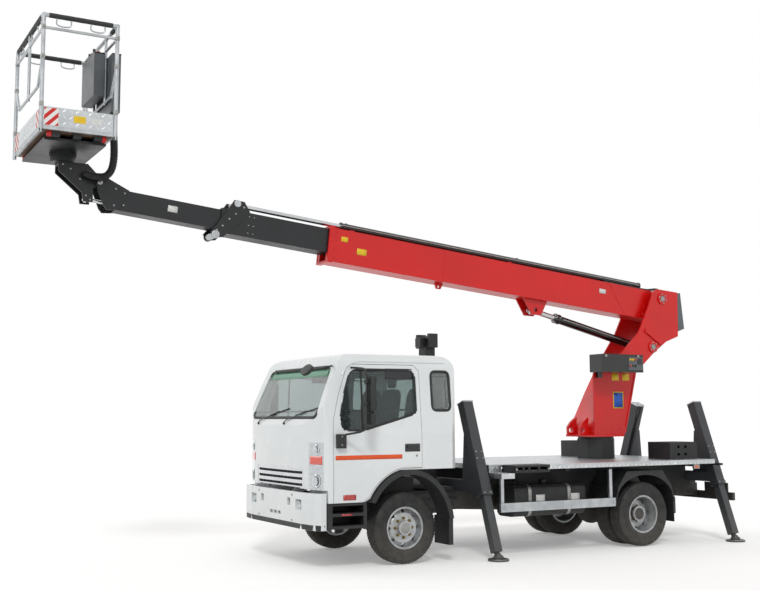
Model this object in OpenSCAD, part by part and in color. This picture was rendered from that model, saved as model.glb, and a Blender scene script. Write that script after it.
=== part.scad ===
/* [Chassis] */
// Distance between the front and rear axle
wheelbase = 3365; // [3200:5:3600]
// Half of the distance between the front tyres' centres
front_track_half = 832; // [810:1:850]
// Half of the distance between the centres of the rear twin wheels
rear_track_half = 780; // [770:1:800]
// Height of a frame rail
rail_h = 200; // [160:5:220]
// Top of the frame rails above the ground
rail_top = 740; // [720:5:760]
// Half width over the frame rails
rail_y = 425; // [400:5:430]
// Thickness of the frame rails and cross members
rail_w = 60; // [40:5:70]

/* [Wheels] */
// Outer radius of a tyre
tyre_r = 392; // [370:1:400]
// Width of a tyre
tyre_w = 220; // [200:1:235]
// Radius of the rim flange
rim_r = 232; // [225:1:240]
// Radius of the hub bore in a rim
hub_r = 82; // [75:1:90]

/* [Cab] */
// Half width of the cab
cab_y = 1020; // [980:5:1040]
// Height of the roof above the ground
roof_z = 2296; // [2240:4:2400]
// Thickness of the cab walls and doors
wall = 56; // [45:1:70]
// Gap round a door
door_gap = 6; // [5:1:10]
// Thickness of the window glass
glass_t = 6; // [4:1:8]

/* [Deck] */
// Top of the deck above the ground
deck_top = 1045; // [1000:5:1060]
// Half width of the deck
deck_y = 1131; // [1080:5:1160]
// Height of the folded deck edge
deck_edge = 55; // [40:1:60]

/* [Outriggers] */
// Side of the square outrigger housing
leg_out = 130; // [120:2:140]
// Wall of the outrigger housing
leg_wall = 10; // [8:1:12]
// Lean of the outriggers from vertical
leg_lean = 19.9; // [15:0.1:22]
// Radius of a foot plate
foot_r = 120; // [100:5:150]

/* [Boom] */
// Angle of the boom above level
luff = 5.8; // [0:0.1:10]
// Reach of the base section ahead of its pivot
base_len = 5070; // [4800:10:5300]
// Half width of the base section
base_y = 140; // [130:2:150]
// Top of the base section above the pivot line
base_top = 105; // [100:1:110]
// Height of the base section
base_h = 405; // [390:5:430]
// Plate thickness of the boom sections
boom_t = 12; // [8:1:14]
// Length of the middle and of the tip section
slide_len = 5000; // [4800:10:5100]
// Radius of the luffing cylinder's barrel
luff_r = 55; // [50:1:60]
// Radius of the luffing cylinder's rod
luff_rod_r = 36; // [30:1:40]

/* [Basket] */
// Width of the basket across the boom
basket_w = 1340; // [1200:10:1500]
// Depth of the basket along the boom
basket_d = 740; // [650:10:800]
// Height of the basket's rail above its floor
basket_h = 1130; // [1050:10:1200]
// Diameter of the basket tubes
tube_d = 42; // [38:1:48]

/* [Hidden] */
$fn = 48;
SEAT = 0.3;        // gap between pieces that rest against each other
RUN = 5;           // clearance between pieces that move past each other
FIT = 0.05;        // radial clearance of a pin in its bore
axle_z = tyre_r;
rear_x = -wheelbase;
rail_z = rail_top - rail_h;
frame_front = 1040;
frame_rear = -4830;
sub_top = deck_top - 85;
slew_x = -3480;
piv_x = -4500;
piv_z = 3200;
cyl_x = -4306;     // barrel pivot of the luffing cylinder
cyl_z = 2531;
eye_u = 2000;      // rod eye in the boom's own line
eye_v = -430;
turret_y = 250;
turret_t = 20;
kingpin_y = 735;
tilt_x = 1096;
tilt_z = 762;
ear_y = rail_y - 105; // outer face of the cab's hinge ear
pin_r = 40;
link_u = 7780;     // levelling pivot in the boom's own line
link_v = 97;
link_x = piv_x + link_u * cos(luff) - link_v * sin(luff);
link_z = piv_z + link_u * sin(luff) + link_v * cos(luff);
floor_z = link_z + 390;
rotor_x = link_x + 364;
basket_x1 = rotor_x + basket_d / 2;
turret_rear = -4905;
centre_x = (basket_x1 + tube_d / 2 + turret_rear) / 2;
leg_x = [-1047, -4727];
leg_top = 1760;
foot_y = 1190.4;
leg_mid_y = foot_y - leg_top * tan(leg_lean); // leg axis at leg_top
leg_in = leg_out - 2 * leg_wall - 2 * RUN;

// ---- helpers ----
module place() translate([-centre_x, 0, 0]) children();
module both() { children(); mirror([0, 1, 0]) children(); }
// an outline in the X-Z plane, made solid from y0 to y1
module slab(pts, y0, y1) translate([0, y1, 0]) rotate([90, 0, 0]) linear_extrude(y1 - y0) polygon(pts);
// an outline in the Y-Z plane, made solid from x0 to x1
module front_slab(pts, x0, x1) translate([x0, 0, 0]) rotate([90, 0, 90]) linear_extrude(x1 - x0) polygon(pts);
module box(a, b) translate(a) cube(b - a);
module rod_y(x, z, r, y0, y1) translate([x, y0, z]) rotate([-90, 0, 0]) cylinder(r = r, h = y1 - y0);
module rod_x(x0, x1, y, z, r) translate([x0, y, z]) rotate([0, 90, 0]) cylinder(r = r, h = x1 - x0);
module tube(a, b, r) {
    d = b - a;
    l = norm(d);
    translate(a) rotate([0, acos(d[2] / l), atan2(d[1], d[0])]) cylinder(r = r, h = l, $fn = 20);
}
function edge_n(a, b) = [b[1] - a[1], a[0] - b[0]] / norm(b - a);
// moves every side of a counter-clockwise outline inwards by d
function inset(p, d) = [for (i = [0 : len(p) - 1])
    let (n = len(p), n1 = edge_n(p[(i + n - 1) % n], p[i]), n2 = edge_n(p[i], p[(i + 1) % n]))
    p[i] - d * (n1 + n2) / (1 + n1 * n2)];
function arc(x, y, rx, ry, a0, a1, n) = [for (i = [0 : n]) let (a = a0 + (a1 - a0) * i / n)
    [x + rx * cos(a), y + ry * sin(a)]];
// a four-sided outline with round corners of radius r, from its counter-clockwise corners
function round4(p, r) = [for (i = [0 : 3])
    let (a = p[(i + 3) % 4], b = p[i], c = p[(i + 1) % 4],
        u = (a - b) / norm(a - b), v = (c - b) / norm(c - b), h = acos(u * v) / 2,
        m = b + (u + v) / norm(u + v) * r / sin(h), t = r / tan(h),
        s = atan2((b + u * t - m)[1], (b + u * t - m)[0]), w = 180 - 2 * h)
    for (k = [0 : 3]) m + r * [cos(s + w * k / 3), sin(s + w * k / 3)]];
// the boom's own frame: x along the boom from its pivot, z square to it
module boom_frame() translate([piv_x, 0, piv_z]) rotate([0, -luff, 0]) children();

// ---- chassis ----
module frame() color("dimgray") {
    both() {
        slab([[frame_rear, rail_z], [frame_front, rail_z], [frame_front, rail_top], [frame_rear, rail_top]],
            rail_y - rail_w, rail_y);
    }
    for (x = [980, 420, -1000, -1700, -2700, -4150, frame_rear + rail_w])
        box([x - rail_w, -rail_y + rail_w, rail_z + 70], [x, rail_y - rail_w, rail_top - 30]);
    // tilt hinge plates and their pins
    both() {
        rod_y(tilt_x, tilt_z, 18, ear_y - 24, ear_y + 20);
        box([frame_front - 60, ear_y + RUN, rail_z + 90], [tilt_x + 10, ear_y + 30, tilt_z + 16]);
        box([frame_front - 60, ear_y + 29, rail_z + 90], [frame_front, rail_y - rail_w + 1, rail_top - 30]);
    }
}
// rails that stand on the frame and carry the deck's cross bearers
module subframe() color("dimgray") {
    both() box([-4655, rail_y - rail_w, rail_top + SEAT], [-1180, rail_y, sub_top]);
    for (x = [-1360, -2100, -2760, -4100, -4600])
        box([x - rail_w, -deck_y + 40, sub_top], [x, x == -1360 ? deck_y - 280 : deck_y - 40, deck_top - deck_edge - SEAT]);
}
module front_axle() color("dimgray") {
    beam_y = kingpin_y - 70;
    box([-40, -beam_y, axle_z - 60], [40, beam_y, axle_z + 10]);
    both() {
        box([-40, beam_y - 60, axle_z - 35], [40, beam_y, axle_z + 35]);
        box([-30, beam_y - 1, axle_z - 28], [30, kingpin_y + 28, axle_z + 28]);
        translate([0, kingpin_y, axle_z - 85]) cylinder(r = 22, h = 170);
        box([-70, rail_y - 78, axle_z + 9], [70, rail_y - 2, axle_z + 36]);
        slab([[-620, rail_z - 30], [-600, rail_z - 62], [-60, axle_z + 35], [60, axle_z + 35], [600, rail_z - 62],
            [620, rail_z - 30], [620, rail_z], [560, rail_z], [560, rail_z - 30], [60, axle_z + 66],
            [-60, axle_z + 66], [-560, rail_z - 30], [-560, rail_z], [-620, rail_z]], rail_y - 72, rail_y - 8);
    }
}
module rear_axle() color("dimgray") {
    rod_y(rear_x, axle_z, 62, -rear_track_half - 60, rear_track_half + 60);
    translate([rear_x, 0, axle_z]) sphere(r = 190);
    both() {
        box([rear_x - 70, rail_y - 78, axle_z + 40], [rear_x + 70, rail_y - 2, axle_z + 90]);
        slab([[rear_x - 700, rail_z - 20], [rear_x - 680, rail_z - 50], [rear_x - 60, axle_z + 88],
            [rear_x + 60, axle_z + 88], [rear_x + 680, rail_z - 50], [rear_x + 700, rail_z - 20],
            [rear_x + 700, rail_z], [rear_x + 620, rail_z], [rear_x + 600, rail_z - 12], [rear_x + 60, axle_z + 130],
            [rear_x - 60, axle_z + 130], [rear_x - 600, rail_z - 12], [rear_x - 620, rail_z],
            [rear_x - 700, rail_z]], rail_y - 72, rail_y - 8);
    }
    // propeller shaft to the gearbox
    tube([rear_x + 150, 0, axle_z + 20], [-906, 0, rail_z], 45);
}
module engine() color("gray") {
    box([-480, -300, 440], [260, 300, 900]);
    box([-900, -170, 460], [-479, 170, 700]);
    // mounts on the rails
    for (x = [-380, 120]) box([x, -rail_y + rail_w + SEAT, rail_z + 60], [x + 80, rail_y - rail_w - SEAT, rail_z + 120]);
    // radiator
    box([430, -290, 480], [520, 290, 830]);
    box([259, -60, 520], [431, 60, 600]);
}
bumper_top = 806;
module front_bumper() color("white") {
    h = [[1000, -cab_y + 15], [1060, -cab_y + 8], [1112, -cab_y + 70], [1150, -cab_y + 330], [1150, cab_y - 330],
        [1112, cab_y - 70], [1060, cab_y - 8], [1000, cab_y - 15]];
    difference() {
        translate([0, 0, 421]) linear_extrude(bumper_top - 421) polygon(h);
        translate([0, 0, 441]) linear_extrude(bumper_top) polygon([for (p = inset(h, 34)) [p[0] - (p[0] < 1040 ? 60 : 0), p[1]]]);
        translate([900, -cab_y + 60, 400]) cube([130, 2 * cab_y - 120, 500]);
        // tow-eye recesses, slots and fog lamp pockets
        both() box([1100, 330, 655], [1160, 410, 735]);
        for (y = [-110, 0, 110]) box([1100, y - 42, 540], [1160, y + 42, 575]);
        both() box([1080, 545, 620], [1160, 700, 730]);
    }
    // brackets back to the rails
    both() box([frame_front + SEAT, rail_y - rail_w, rail_z + 20], [1117, rail_y, rail_z + 80]);
    both() box([1080, 540, 615], [1119, 705, 735]);
}
module tanks() color("black") {
    // fuel tank with round edges on the left, its straps reach the rail
    front_slab(round4([[520, 430], [890, 430], [890, 800], [520, 800]], 80), -2550, -1500);
    for (x = [-2350, -1750]) box([x - 25, rail_y + SEAT, 560], [x + 25, 521, 600]);
    // battery box and silencer on the right
    box([-1900, -900, 420], [-1350, -540, 760]);
    box([-1700, -541, 560], [-1600, -rail_y - SEAT, 640]);
    rod_x(-2700, -2050, -680, 560, 130);
    box([-2420, -560, 560], [-2320, -rail_y - SEAT, 600]);
}
module spare_wheel() color("black") {
    x = -4320;
    difference() {
        translate([x, 0, 300]) cylinder(r = tyre_r, h = tyre_w - 12);
        translate([x, 0, 290]) cylinder(r = rim_r - 20, h = tyre_w + 20);
    }
    // disc and the winch hanger to the cross member
    translate([x, 0, 400]) cylinder(r = rim_r - 19, h = 14);
    translate([x + 140, 0, 413]) cylinder(r = 25, h = rail_z + 70 - 413 - SEAT);
}

// ---- deck ----
module deck() color("silver") {
    x0 = -4480; x1 = -1150;
    step_x0 = -1840; step_x1 = -1339;
    difference() {
        box([x0, -deck_y, deck_top - deck_edge], [x1, deck_y, deck_top]);
        box([x0 + 6, -deck_y + 6, deck_top - deck_edge - 1], [x1 - 6, deck_y - 6, deck_top - 8]);
        box([step_x0, deck_y - 260, deck_top - deck_edge - 1], [x1 + 1, deck_y + 1, deck_top + 1]);
        translate([slew_x, 0, deck_top - 60]) cylinder(r = 262, h = 100);
    }
    // bearers under the plate
    for (x = [-1360, -2100, -2760, -4100])
        box([x - 56, -deck_y + 7, deck_top - deck_edge], [x - 4, deck_y - 270, deck_top - 7]);
    // lower corner plate with the side lamp
    both() box([step_x1 + 5, deck_y - 250, deck_top - 150], [x1, deck_y, deck_top - 90]);
    both() box([step_x1 + 5, deck_y - 272, deck_top - 150], [x1, deck_y - 249, deck_top - 7]);
}
module deck_fittings() color("black") {
    // folding step at the left edge
    difference() {
        box([-1840 + SEAT, deck_y - 260 + SEAT, deck_top - 90], [-1345, deck_y, deck_top - 5]);
        box([-1800, deck_y - 230, deck_top - 70], [-1380, deck_y + 1, deck_top - 25]);
    }
    for (x = [-1700, -1560, -1480]) box([x, deck_y - 231, deck_top - 71], [x + 30, deck_y - 4, deck_top - 24]);
    // boxes of chock plates
    for (c = [[-4404, 498], [-4070, -900]])
        difference() {
            box([c[0], c[1], deck_top + SEAT], [c[0] + 468, c[1] + 402, deck_top + 217]);
            for (dx = [180, 300]) for (dz = [45, 140])
                box([c[0] + dx, c[1] - 1, deck_top + dz], [c[0] + dx + 40, c[1] + 403, deck_top + dz + 34]);
        }
}
module side_guards() color("silver") both() {
    box([-2828, 1080, 520], [-1146, 1118, 620]);
    box([-1215, 1050, 540], [-1175, 1081, deck_top - 150 - SEAT]);
    box([-2812, 1050, 540], [-2768, 1081, sub_top - SEAT]);
}
module rear_fenders() color("black") both() {
    y0 = rear_track_half - 260; y1 = rear_track_half + 270;
    top = 925; x = rear_x;
    outline = [[x - 485, 540], [x - 430, 740], [x - 290, top], [x + 290, top], [x + 430, 740], [x + 485, 540],
        [x + 470, 540], [x + 416, 734], [x + 283, top - 14], [x - 283, top - 14], [x - 416, 734], [x - 470, 540]];
    slab(outline, y0, y1);
    // side skirt
    slab(concat([[x - 485, 540], [x - 470, 540]], arc(x, 540, 470, 335, 180, 0, 16), [[x + 485, 540],
        [x + 430, 740], [x + 290, top], [x - 290, top], [x - 430, 740]]), y1 - 14, y1);
    // mud flap and stays to the subframe
    box([x - 485, y0 + 20, 280], [x - 473, y1 - 20, 541]);
    for (s = [-200, 200]) box([x + s - 20, rail_y + SEAT, top - 30], [x + s + 20, y0 + 1, top - 5]);
}
module rear_bumper() color("dimgray") {
    box([-4900, -1050, 500], [-4856, 1050, 600]);
    both() box([-4857, rail_y - rail_w, 520], [frame_rear - SEAT, rail_y, 700]);
    both() box([-4880, 560, 599], [-4857, 960, 720]);
}
module boom_rest() color("black") {
    x = -860;
    box([x - 70, -75, rail_top + 40], [x + 70, 75, 2560]);
    box([x - 90, -rail_y, rail_top + SEAT], [x + 90, rail_y, rail_top + 41]);
    // cradle
    both() box([x - 60, 76 - 2, 2440], [x + 60, 150, 2500]);
    both() box([x - 60, 110, 2440], [x + 60, 160, 2610]);
    box([x - 60, -111, 2540], [x + 60, 111, 2580]);
    // work lamp
    box([x + 69, -60, 2450], [x + 130, 60, 2560]);
}

// ---- outriggers ----
// the frame of one leg: origin at the top of its axis, z up along it
module leg_frame(x) translate([x, leg_mid_y, leg_top]) rotate([leg_lean, 0, 0]) children();
housing_len = 1130;
module housing(x) {
    leg_frame(x) difference() {
        translate([-leg_out / 2, -leg_out / 2, -housing_len]) cube([leg_out, leg_out, housing_len]);
        translate([-leg_out / 2 + leg_wall, -leg_out / 2 + leg_wall, -housing_len - 1])
            cube([leg_out - 2 * leg_wall, leg_out - 2 * leg_wall, housing_len - leg_wall + 1]);
    }
    // collar that guides the leg
    leg_frame(x) difference() {
        translate([-leg_out / 2 - 6, -leg_out / 2 - 6, -housing_len]) cube([leg_out + 12, leg_out + 12, 50]);
        translate([-leg_in / 2 - 0.5, -leg_in / 2 - 0.5, -housing_len - 1]) cube([leg_in + 1, leg_in + 1, 52]);
    }
    // gusset down to the cross beam
    front_slab([[520, 860], [840, 860], [680, 1250], [600, 1400], [560, 1400]], x - 30, x + 30);
}
module outrigger_housings() color("dimgray") {
    difference() {
        for (x = leg_x) {
            both() housing(x);
            box([x - 60, -880, rail_top + SEAT], [x + 60, 880, rail_top + 125]);
        }
        both() for (x = leg_x) leg_frame(x)
            translate([-leg_out / 2 + leg_wall, -leg_out / 2 + leg_wall, -housing_len + 49])
                cube([leg_out - 2 * leg_wall, leg_out - 2 * leg_wall, housing_len - leg_wall - 49]);
    }
}
leg_axis_len = leg_top / cos(leg_lean);
module leg(x) color("dimgray") {
    leg_frame(x) translate([-leg_in / 2, -leg_in / 2, -leg_axis_len + 95]) cube([leg_in, leg_in, 1060]);
    leg_frame(x) translate([0, 0, -leg_axis_len + 40]) cylinder(r = 32, h = 60);
    translate([x, foot_y, 0]) {
        cylinder(r = foot_r, h = 18);
        translate([0, 0, 17]) cylinder(r = 60, h = 22);
        translate([0, 0, 45]) sphere(r = 42);
    }
}
module pedestal() color("black") {
    translate([slew_x, 0, sub_top + SEAT]) rotate([0, 0, 22.5]) cylinder(r = 255, h = 1300 - sub_top, $fn = 8);
    // slewing ring
    translate([slew_x, 0, 1299]) cylinder(r = 235, h = 30.5);
    box([slew_x - 200, -rail_y, sub_top + SEAT], [slew_x + 200, rail_y, sub_top + 20]);
}

// ---- cab ----
arch_a = 560;                     // half length of the front wheel arch
arch_b = 1030 - SEAT - axle_z;    // height of its top above the axle
cab_side_pts = concat([[-640, 1030]], arc(0, axle_z, arch_a + 12, arch_b + 12, 79, 32, 7),
    [[555, 701], [980, 701], [984, 836], [1104, 836], [1118, 1050], [1122, 1260], [1100, 1520], [1000, 1790],
    [862, 2110]], arc(640, 2146, 200, 150, 12, 80, 4), arc(-485, 2136, 155, 160, 88, 178, 5));
// front view: upright to the waist, leaning in above it
cab_front_half = concat([[cab_y, 600], [cab_y, 1420], [cab_y - 62, 2080]], arc(cab_y - 220, roof_z - 170, 150, 170, 8, 86, 4));
cab_front_pts = concat(cab_front_half, [for (i = [len(cab_front_half) - 1 : -1 : 0]) [-cab_front_half[i][0], cab_front_half[i][1]]]);
cab_plan_half = concat(arc(0, 0, 1128, 2600, 0, 17.5, 3), arc(935, cab_y - 125, 125, 125, 42, 84, 3), [[900, cab_y], [-565, cab_y], [-645, cab_y - 70]]);
cab_plan_pts = concat(cab_plan_half, [for (i = [len(cab_plan_half) - 1 : -1 : 1]) [cab_plan_half[i][0], -cab_plan_half[i][1]]]);
module cab_form(d) intersection() {
    slab(inset(cab_side_pts, d), -1100, 1100);
    front_slab(inset(cab_front_pts, d), -700, 1300);
    translate([0, 0, 600]) linear_extrude(1800) polygon(inset(cab_plan_pts, d));
}
tunnel_y = 560; tunnel_z = 850;
module cab_skin(d0, d1) difference() {
    cab_form(d0);
    difference() { cab_form(d1); box([-700, -tunnel_y - d1, 600], [1200, tunnel_y + d1, tunnel_z + d1]); }
    box([-700, -tunnel_y, 600], [1200, tunnel_y, tunnel_z]);
}
// the door's share of the side in front view: a panel that leans in above the waist
door_side = [[1100, 600], [1100, 2400], [cab_y - 135, 2400], [cab_y - 135, 2080], [cab_y - 60, 1420], [cab_y - 60, 600]];
module door_zone(g) intersection() {
    slab(inset(door_pts, -g), 700, 1100);
    front_slab(inset(door_side, -g), -300, 1050);
}
hinge_x = 916;
hinge_y = cab_y + 2;
module hinge_barrels(r, g) for (z = [860, 1180]) translate([hinge_x, hinge_y, z - g]) cylinder(r = r, h = 60 + 2 * g);
door_pts = concat([[-164, 1050], [-40, 1050]], arc(0, axle_z, arch_a + 26, arch_b + 26, 82, 33, 6),
    [[575, 701], [919, 701], [919, 1560], [850, 1830], [742, 2120], [690, 2172], [-100, 2172], [-164, 2110]]);
window_pts = [[-110, 1640], [560, 1460], [800, 1462], [838, 1580], [790, 1830], [705, 2080], [650, 2120], [-70, 2120], [-110, 2080]];
quarter_pts = round4([[-560, 1673], [-320, 1673], [-320, 2110], [-560, 2110]], 60);
screen_pts = round4([[-885, 1600], [885, 1600], [820, 2150], [-820, 2150]], 70);
rear_pts = round4([[-600, 1550], [600, 1550], [600, 2050], [-600, 2050]], 60);
lamp_y0 = 735; lamp_z0 = 836; lamp_z1 = 1334;
module lamp_zone(g) both() box([1022 + g, lamp_y0 + g, lamp_z0 - 40], [1300, 1100, lamp_z1 - g]);
module grille_zone(g) box([1000 + g, -650 + g, lamp_z0 - 40], [1300, 650 - g, 1060 - g]);
module panel_zone(g) front_slab([[-lamp_y0 + 12 + g, 1062 + g], [lamp_y0 - 12 - g, 1062 + g],
    [lamp_y0 - 12 - g, lamp_z1 + 12], [800 - g, 1480 - g], [-800 + g, 1480 - g], [-lamp_y0 + 12 + g, lamp_z1 + 12]],
    1030 + g, 1300);
module cab_shell() color("white") {
    difference() {
        cab_skin(0, wall);
        both() door_zone(door_gap);
        // room for the hinge barrels and for the rear edge of a turning door
        both() hinge_barrels(12, 3);
        both() box([-176, cab_y - 142, 1440], [-150, cab_y - 84, 2100]);
        both() slab(quarter_pts, 700, 1100);
        front_slab(screen_pts, 700, 1300);
        front_slab(rear_pts, -700, -400);
        lamp_zone(0); grille_zone(0); panel_zone(0);
    }
    // tilt hinge ears and rear rests
    both() difference() {
        union() {
            slab([[tilt_x - 150, tilt_z - 32], [tilt_x + 4, tilt_z - 32], [tilt_x + 4, tilt_z + 10],
                [tilt_x - 60, tunnel_z - RUN], [tilt_x - 150, tunnel_z - RUN]], ear_y - 20, ear_y);
            box([tilt_x - 150, ear_y - 20, tilt_z], [tilt_x - 110, ear_y, tunnel_z + 1]);
        }
        rod_y(tilt_x, tilt_z, 18 + FIT, 0, 500);
    }
    // seal lands behind the rear edges of the doors
    both() box([-205, cab_y - wall - 14, 1120], [-171, cab_y - wall + 1, 1400]);
    both() box([-172, cab_y - wall - 14, 1120], [-148, cab_y - wall - SEAT, 1400]);
}
module front_panel() color("white") intersection() { cab_skin(0, wall); panel_zone(SEAT); }
module grille() color("silver") difference() {
    intersection() { cab_skin(4, wall); grille_zone(SEAT); }
    for (z = [880, 945, 1010]) box([900, -600, z - 14], [1300, 600, z + 14]);
}
module headlights() color("white") intersection() { cab_skin(0, wall); lamp_zone(SEAT); }
module cab_glass() color("lightblue", 0.5) intersection() {
    cab_skin(10, 10 + glass_t);
    union() {
        front_slab(inset(screen_pts, SEAT), 700, 1300);
        front_slab(inset(rear_pts, SEAT), -700, -500);
        both() slab(inset(quarter_pts, SEAT), 900, 1100);
    }
}
cabin_floor = 1030 + wall;
module dashboard() color("dimgray") {
    slab([[820, 1100], [930, 1120], [960, 1250], [960, 1480], [800, 1500], [700, 1400], [720, 1250]], -850, 850);
    // column and steering wheel
    tube([760, 420, 1260], [520, 420, 1570], 35);
    translate([520, 420, 1570]) rotate([0, -37.7, 0]) {
        rotate_extrude() translate([205, 0]) circle(r = 16, $fn = 16);
        for (a = [90, 210, 330]) rotate([0, 0, a]) translate([0, -14, -10]) cube([204, 28, 16]);
        translate([0, 0, -20]) cylinder(r = 50, h = 30);
    }
    // pedal-side support down to the floor
    both() box([860, 580, tunnel_z + wall + SEAT], [920, 615, 1121]);
}
module seat(y, w) {
    box([-420, y - w / 2, cabin_floor + SEAT], [180, y + w / 2, cabin_floor + 300]);
    slab([[-420, cabin_floor + 299], [-310, cabin_floor + 299], [-400, cabin_floor + 850], [-480, cabin_floor + 850]], y - w / 2, y + w / 2);
    slab([[-400, cabin_floor + 849], [-420, cabin_floor + 849], [-440, cabin_floor + 1020], [-490, cabin_floor + 1020], [-480, cabin_floor + 849]], y - w / 5, y + w / 5);
}
module seats() color("gray") {
    seat(520, 500);
    seat(-140, 440);
    seat(-640, 440);
}
module cab_trim() color("black") {
    both() {
        // wheel arch flare, inner liner and mud flap
        slab(concat(arc(0, axle_z, arch_a, arch_b, 172, 30, 22), arc(0, axle_z, arch_a - 55, arch_b - 55, 30, 172, 22)), 780, cab_y + 35);
        box([-556, 720, 190], [-500, cab_y + 10, 500]);
        // step well in front of the wheel
        difference() {
            box([520, 640, 430], [990, cab_y - 12, 695]);
            box([560, 700, 460], [930, cab_y, 560]);
            box([560, 700, 590], [930, cab_y, 670]);
        }
        // stays up to the cab floor
        box([600, 640, 694], [700, 690, 701 - SEAT]);
    }
    // kerb mirror on its arm over the windscreen's left corner
    tube([851, 850, 2158], [1082, 742, 2098], 10);
    translate([1085, 725, 2102]) rotate([0, 55, 0]) linear_extrude(34)
        polygon([for (a = [0 : 20 : 340]) [68 * cos(a), 120 * sin(a)]]);
}
module door_shape() {
    difference() {
        intersection() { cab_skin(0, wall); door_zone(0); }
        slab(window_pts, 700, 1100);
    }
    hinge_barrels(9, 0);
}
module left_door() color("white") door_shape();
module right_door() color("white") mirror([0, 1, 0]) door_shape();
module door_glass() intersection() { cab_skin(20, 20 + glass_t); slab(inset(window_pts, SEAT), 700, 1100); }
module left_door_glass() color("lightblue", 0.5) door_glass();
module right_door_glass() color("lightblue", 0.5) mirror([0, 1, 0]) door_glass();
module mirror_set() color("black") {
    arm_x = 660;
    arm_y = cab_y + 250;
    box([790, cab_y + SEAT, 1270], [905, cab_y + 60, 1430]);
    tube([850, cab_y + 40, 1405], [arm_x, arm_y, 1455], 11);
    translate([arm_x, arm_y, 1440]) cylinder(r = 15, h = 690);
    tube([arm_x, arm_y, 2115], [690, cab_y - 54, 2135], 12);
    box([577, cab_y + 180, 1520], [643, cab_y + 340, 2040]);
    for (z = [1700, 1930]) box([638, arm_y - 25, z], [684, arm_y + 25, z + 60]);
}
module left_mirror() mirror_set();
module right_mirror() mirror([0, 1, 0]) mirror_set();

// ---- wheels ----
module knuckle() color("dimgray") {
    difference() {
        union() {
            for (z = [38, -78]) translate([0, kingpin_y, axle_z + z]) cylinder(r = 46, h = 40);
            box([-40, kingpin_y + 50, axle_z - 78], [40, kingpin_y + 74, axle_z + 78]);
            for (z = [38, -78]) box([-40, kingpin_y, axle_z + z], [40, kingpin_y + 60, axle_z + z + 40]);
        }
        translate([0, kingpin_y, axle_z - 90]) cylinder(r = 22 + FIT, h = 180);
    }
    rod_y(0, axle_z, 40, kingpin_y + 70, front_track_half + 37);
}
module left_knuckle() knuckle();
module right_knuckle() mirror([0, 1, 0]) knuckle();
// a rim on the y axis: outer face at +y, disc offset by d from its middle
module rim(d) difference() {
    rotate([-90, 0, 0]) rotate_extrude() {
        polygon([[rim_r - 22, -88], [rim_r, -88], [rim_r, -76], [rim_r - 12, -74], [rim_r - 12, 74], [rim_r, 76], [rim_r, 88],
            [rim_r - 22, 88]]);
        polygon([[100, d], [150, d], [rim_r - 20, d - 40], [rim_r - 20, d - 20], [160, d + 14], [100, d + 14]]);
    }
    for (a = [0 : 45 : 315]) rotate([0, a, 0]) translate([184, -200, 0]) rotate([-90, 0, 0]) cylinder(r = 23, h = 400);
}
module tyre() rotate([-90, 0, 0]) rotate_extrude($fn = 64) {
    w = tyre_w / 2;
    polygon([[rim_r - 12 + SEAT, -72], [rim_r + SEAT, -74], [rim_r + SEAT, -92], [rim_r + 20, -w + 12], [rim_r + 70, -w], [tyre_r - 60, -w], [tyre_r - 14, -w + 16],
        [tyre_r, -w + 36], [tyre_r, w - 36], [tyre_r - 14, w - 16], [tyre_r - 60, w], [rim_r + 70, w], [rim_r + 20, w - 12],
        [rim_r + SEAT, 92], [rim_r + SEAT, 74], [rim_r - 12 + SEAT, 72]]);
}
twin = tyre_w / 2 + 22;    // half spacing of the twin wheels
module front_hub() {
    difference() { rod_y(0, 0, 110, -16, 40); rod_y(0, 0, 40 + FIT, -31, 60); }
    rod_y(0, 0, 78, 52, 96);
    rod_y(0, 0, 118, 39.9, 53);
}
module front_rim() color("silver") translate([0, front_track_half, axle_z]) { rim(40); front_hub(); }
module rear_rims() color("silver") translate([rear_x, rear_track_half, axle_z]) {
    for (s = [-1, 1]) translate([0, s * twin, 0]) mirror([0, s < 0 ? 1 : 0, 0]) rim(-60);
    difference() { rod_y(0, 0, 112, -90, 95); rod_y(0, 0, 62 + FIT, -91, 64); }
    rod_y(0, 0, 92, 94, 150);
}
module front_left_rim() front_rim();
module front_right_rim() mirror([0, 1, 0]) front_rim();
module front_left_tyre() color("black") translate([0, front_track_half, axle_z]) tyre();
module front_right_tyre() color("black") translate([0, -front_track_half, axle_z]) tyre();
module rear_left_rims() rear_rims();
module rear_right_rims() mirror([0, 1, 0]) rear_rims();
module twin_tyres() color("black") for (s = [-1, 1]) translate([rear_x, rear_track_half + s * twin, axle_z]) tyre();
module rear_left_tyres() twin_tyres();
module rear_right_tyres() mirror([0, 1, 0]) twin_tyres();
module front_left_leg() leg(leg_x[0]);
module front_right_leg() mirror([0, 1, 0]) leg(leg_x[0]);
module rear_left_leg() leg(leg_x[1]);
module rear_right_leg() mirror([0, 1, 0]) leg(leg_x[1]);

// ---- turret ----
turret_z = 1330;
plate_pts = [[-3734, turret_z], [-3255, turret_z], [-3262, 2160], [-3730, 2420], [-4060, 2720], [-4250, 3080], [-4340, 3290],
    [-4420, 3330], [-4790, 3300], [-4775, 2690], [-4554, 2610], [-4327, 2455], [-3997, 2180], [-3790, 1390]];
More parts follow.
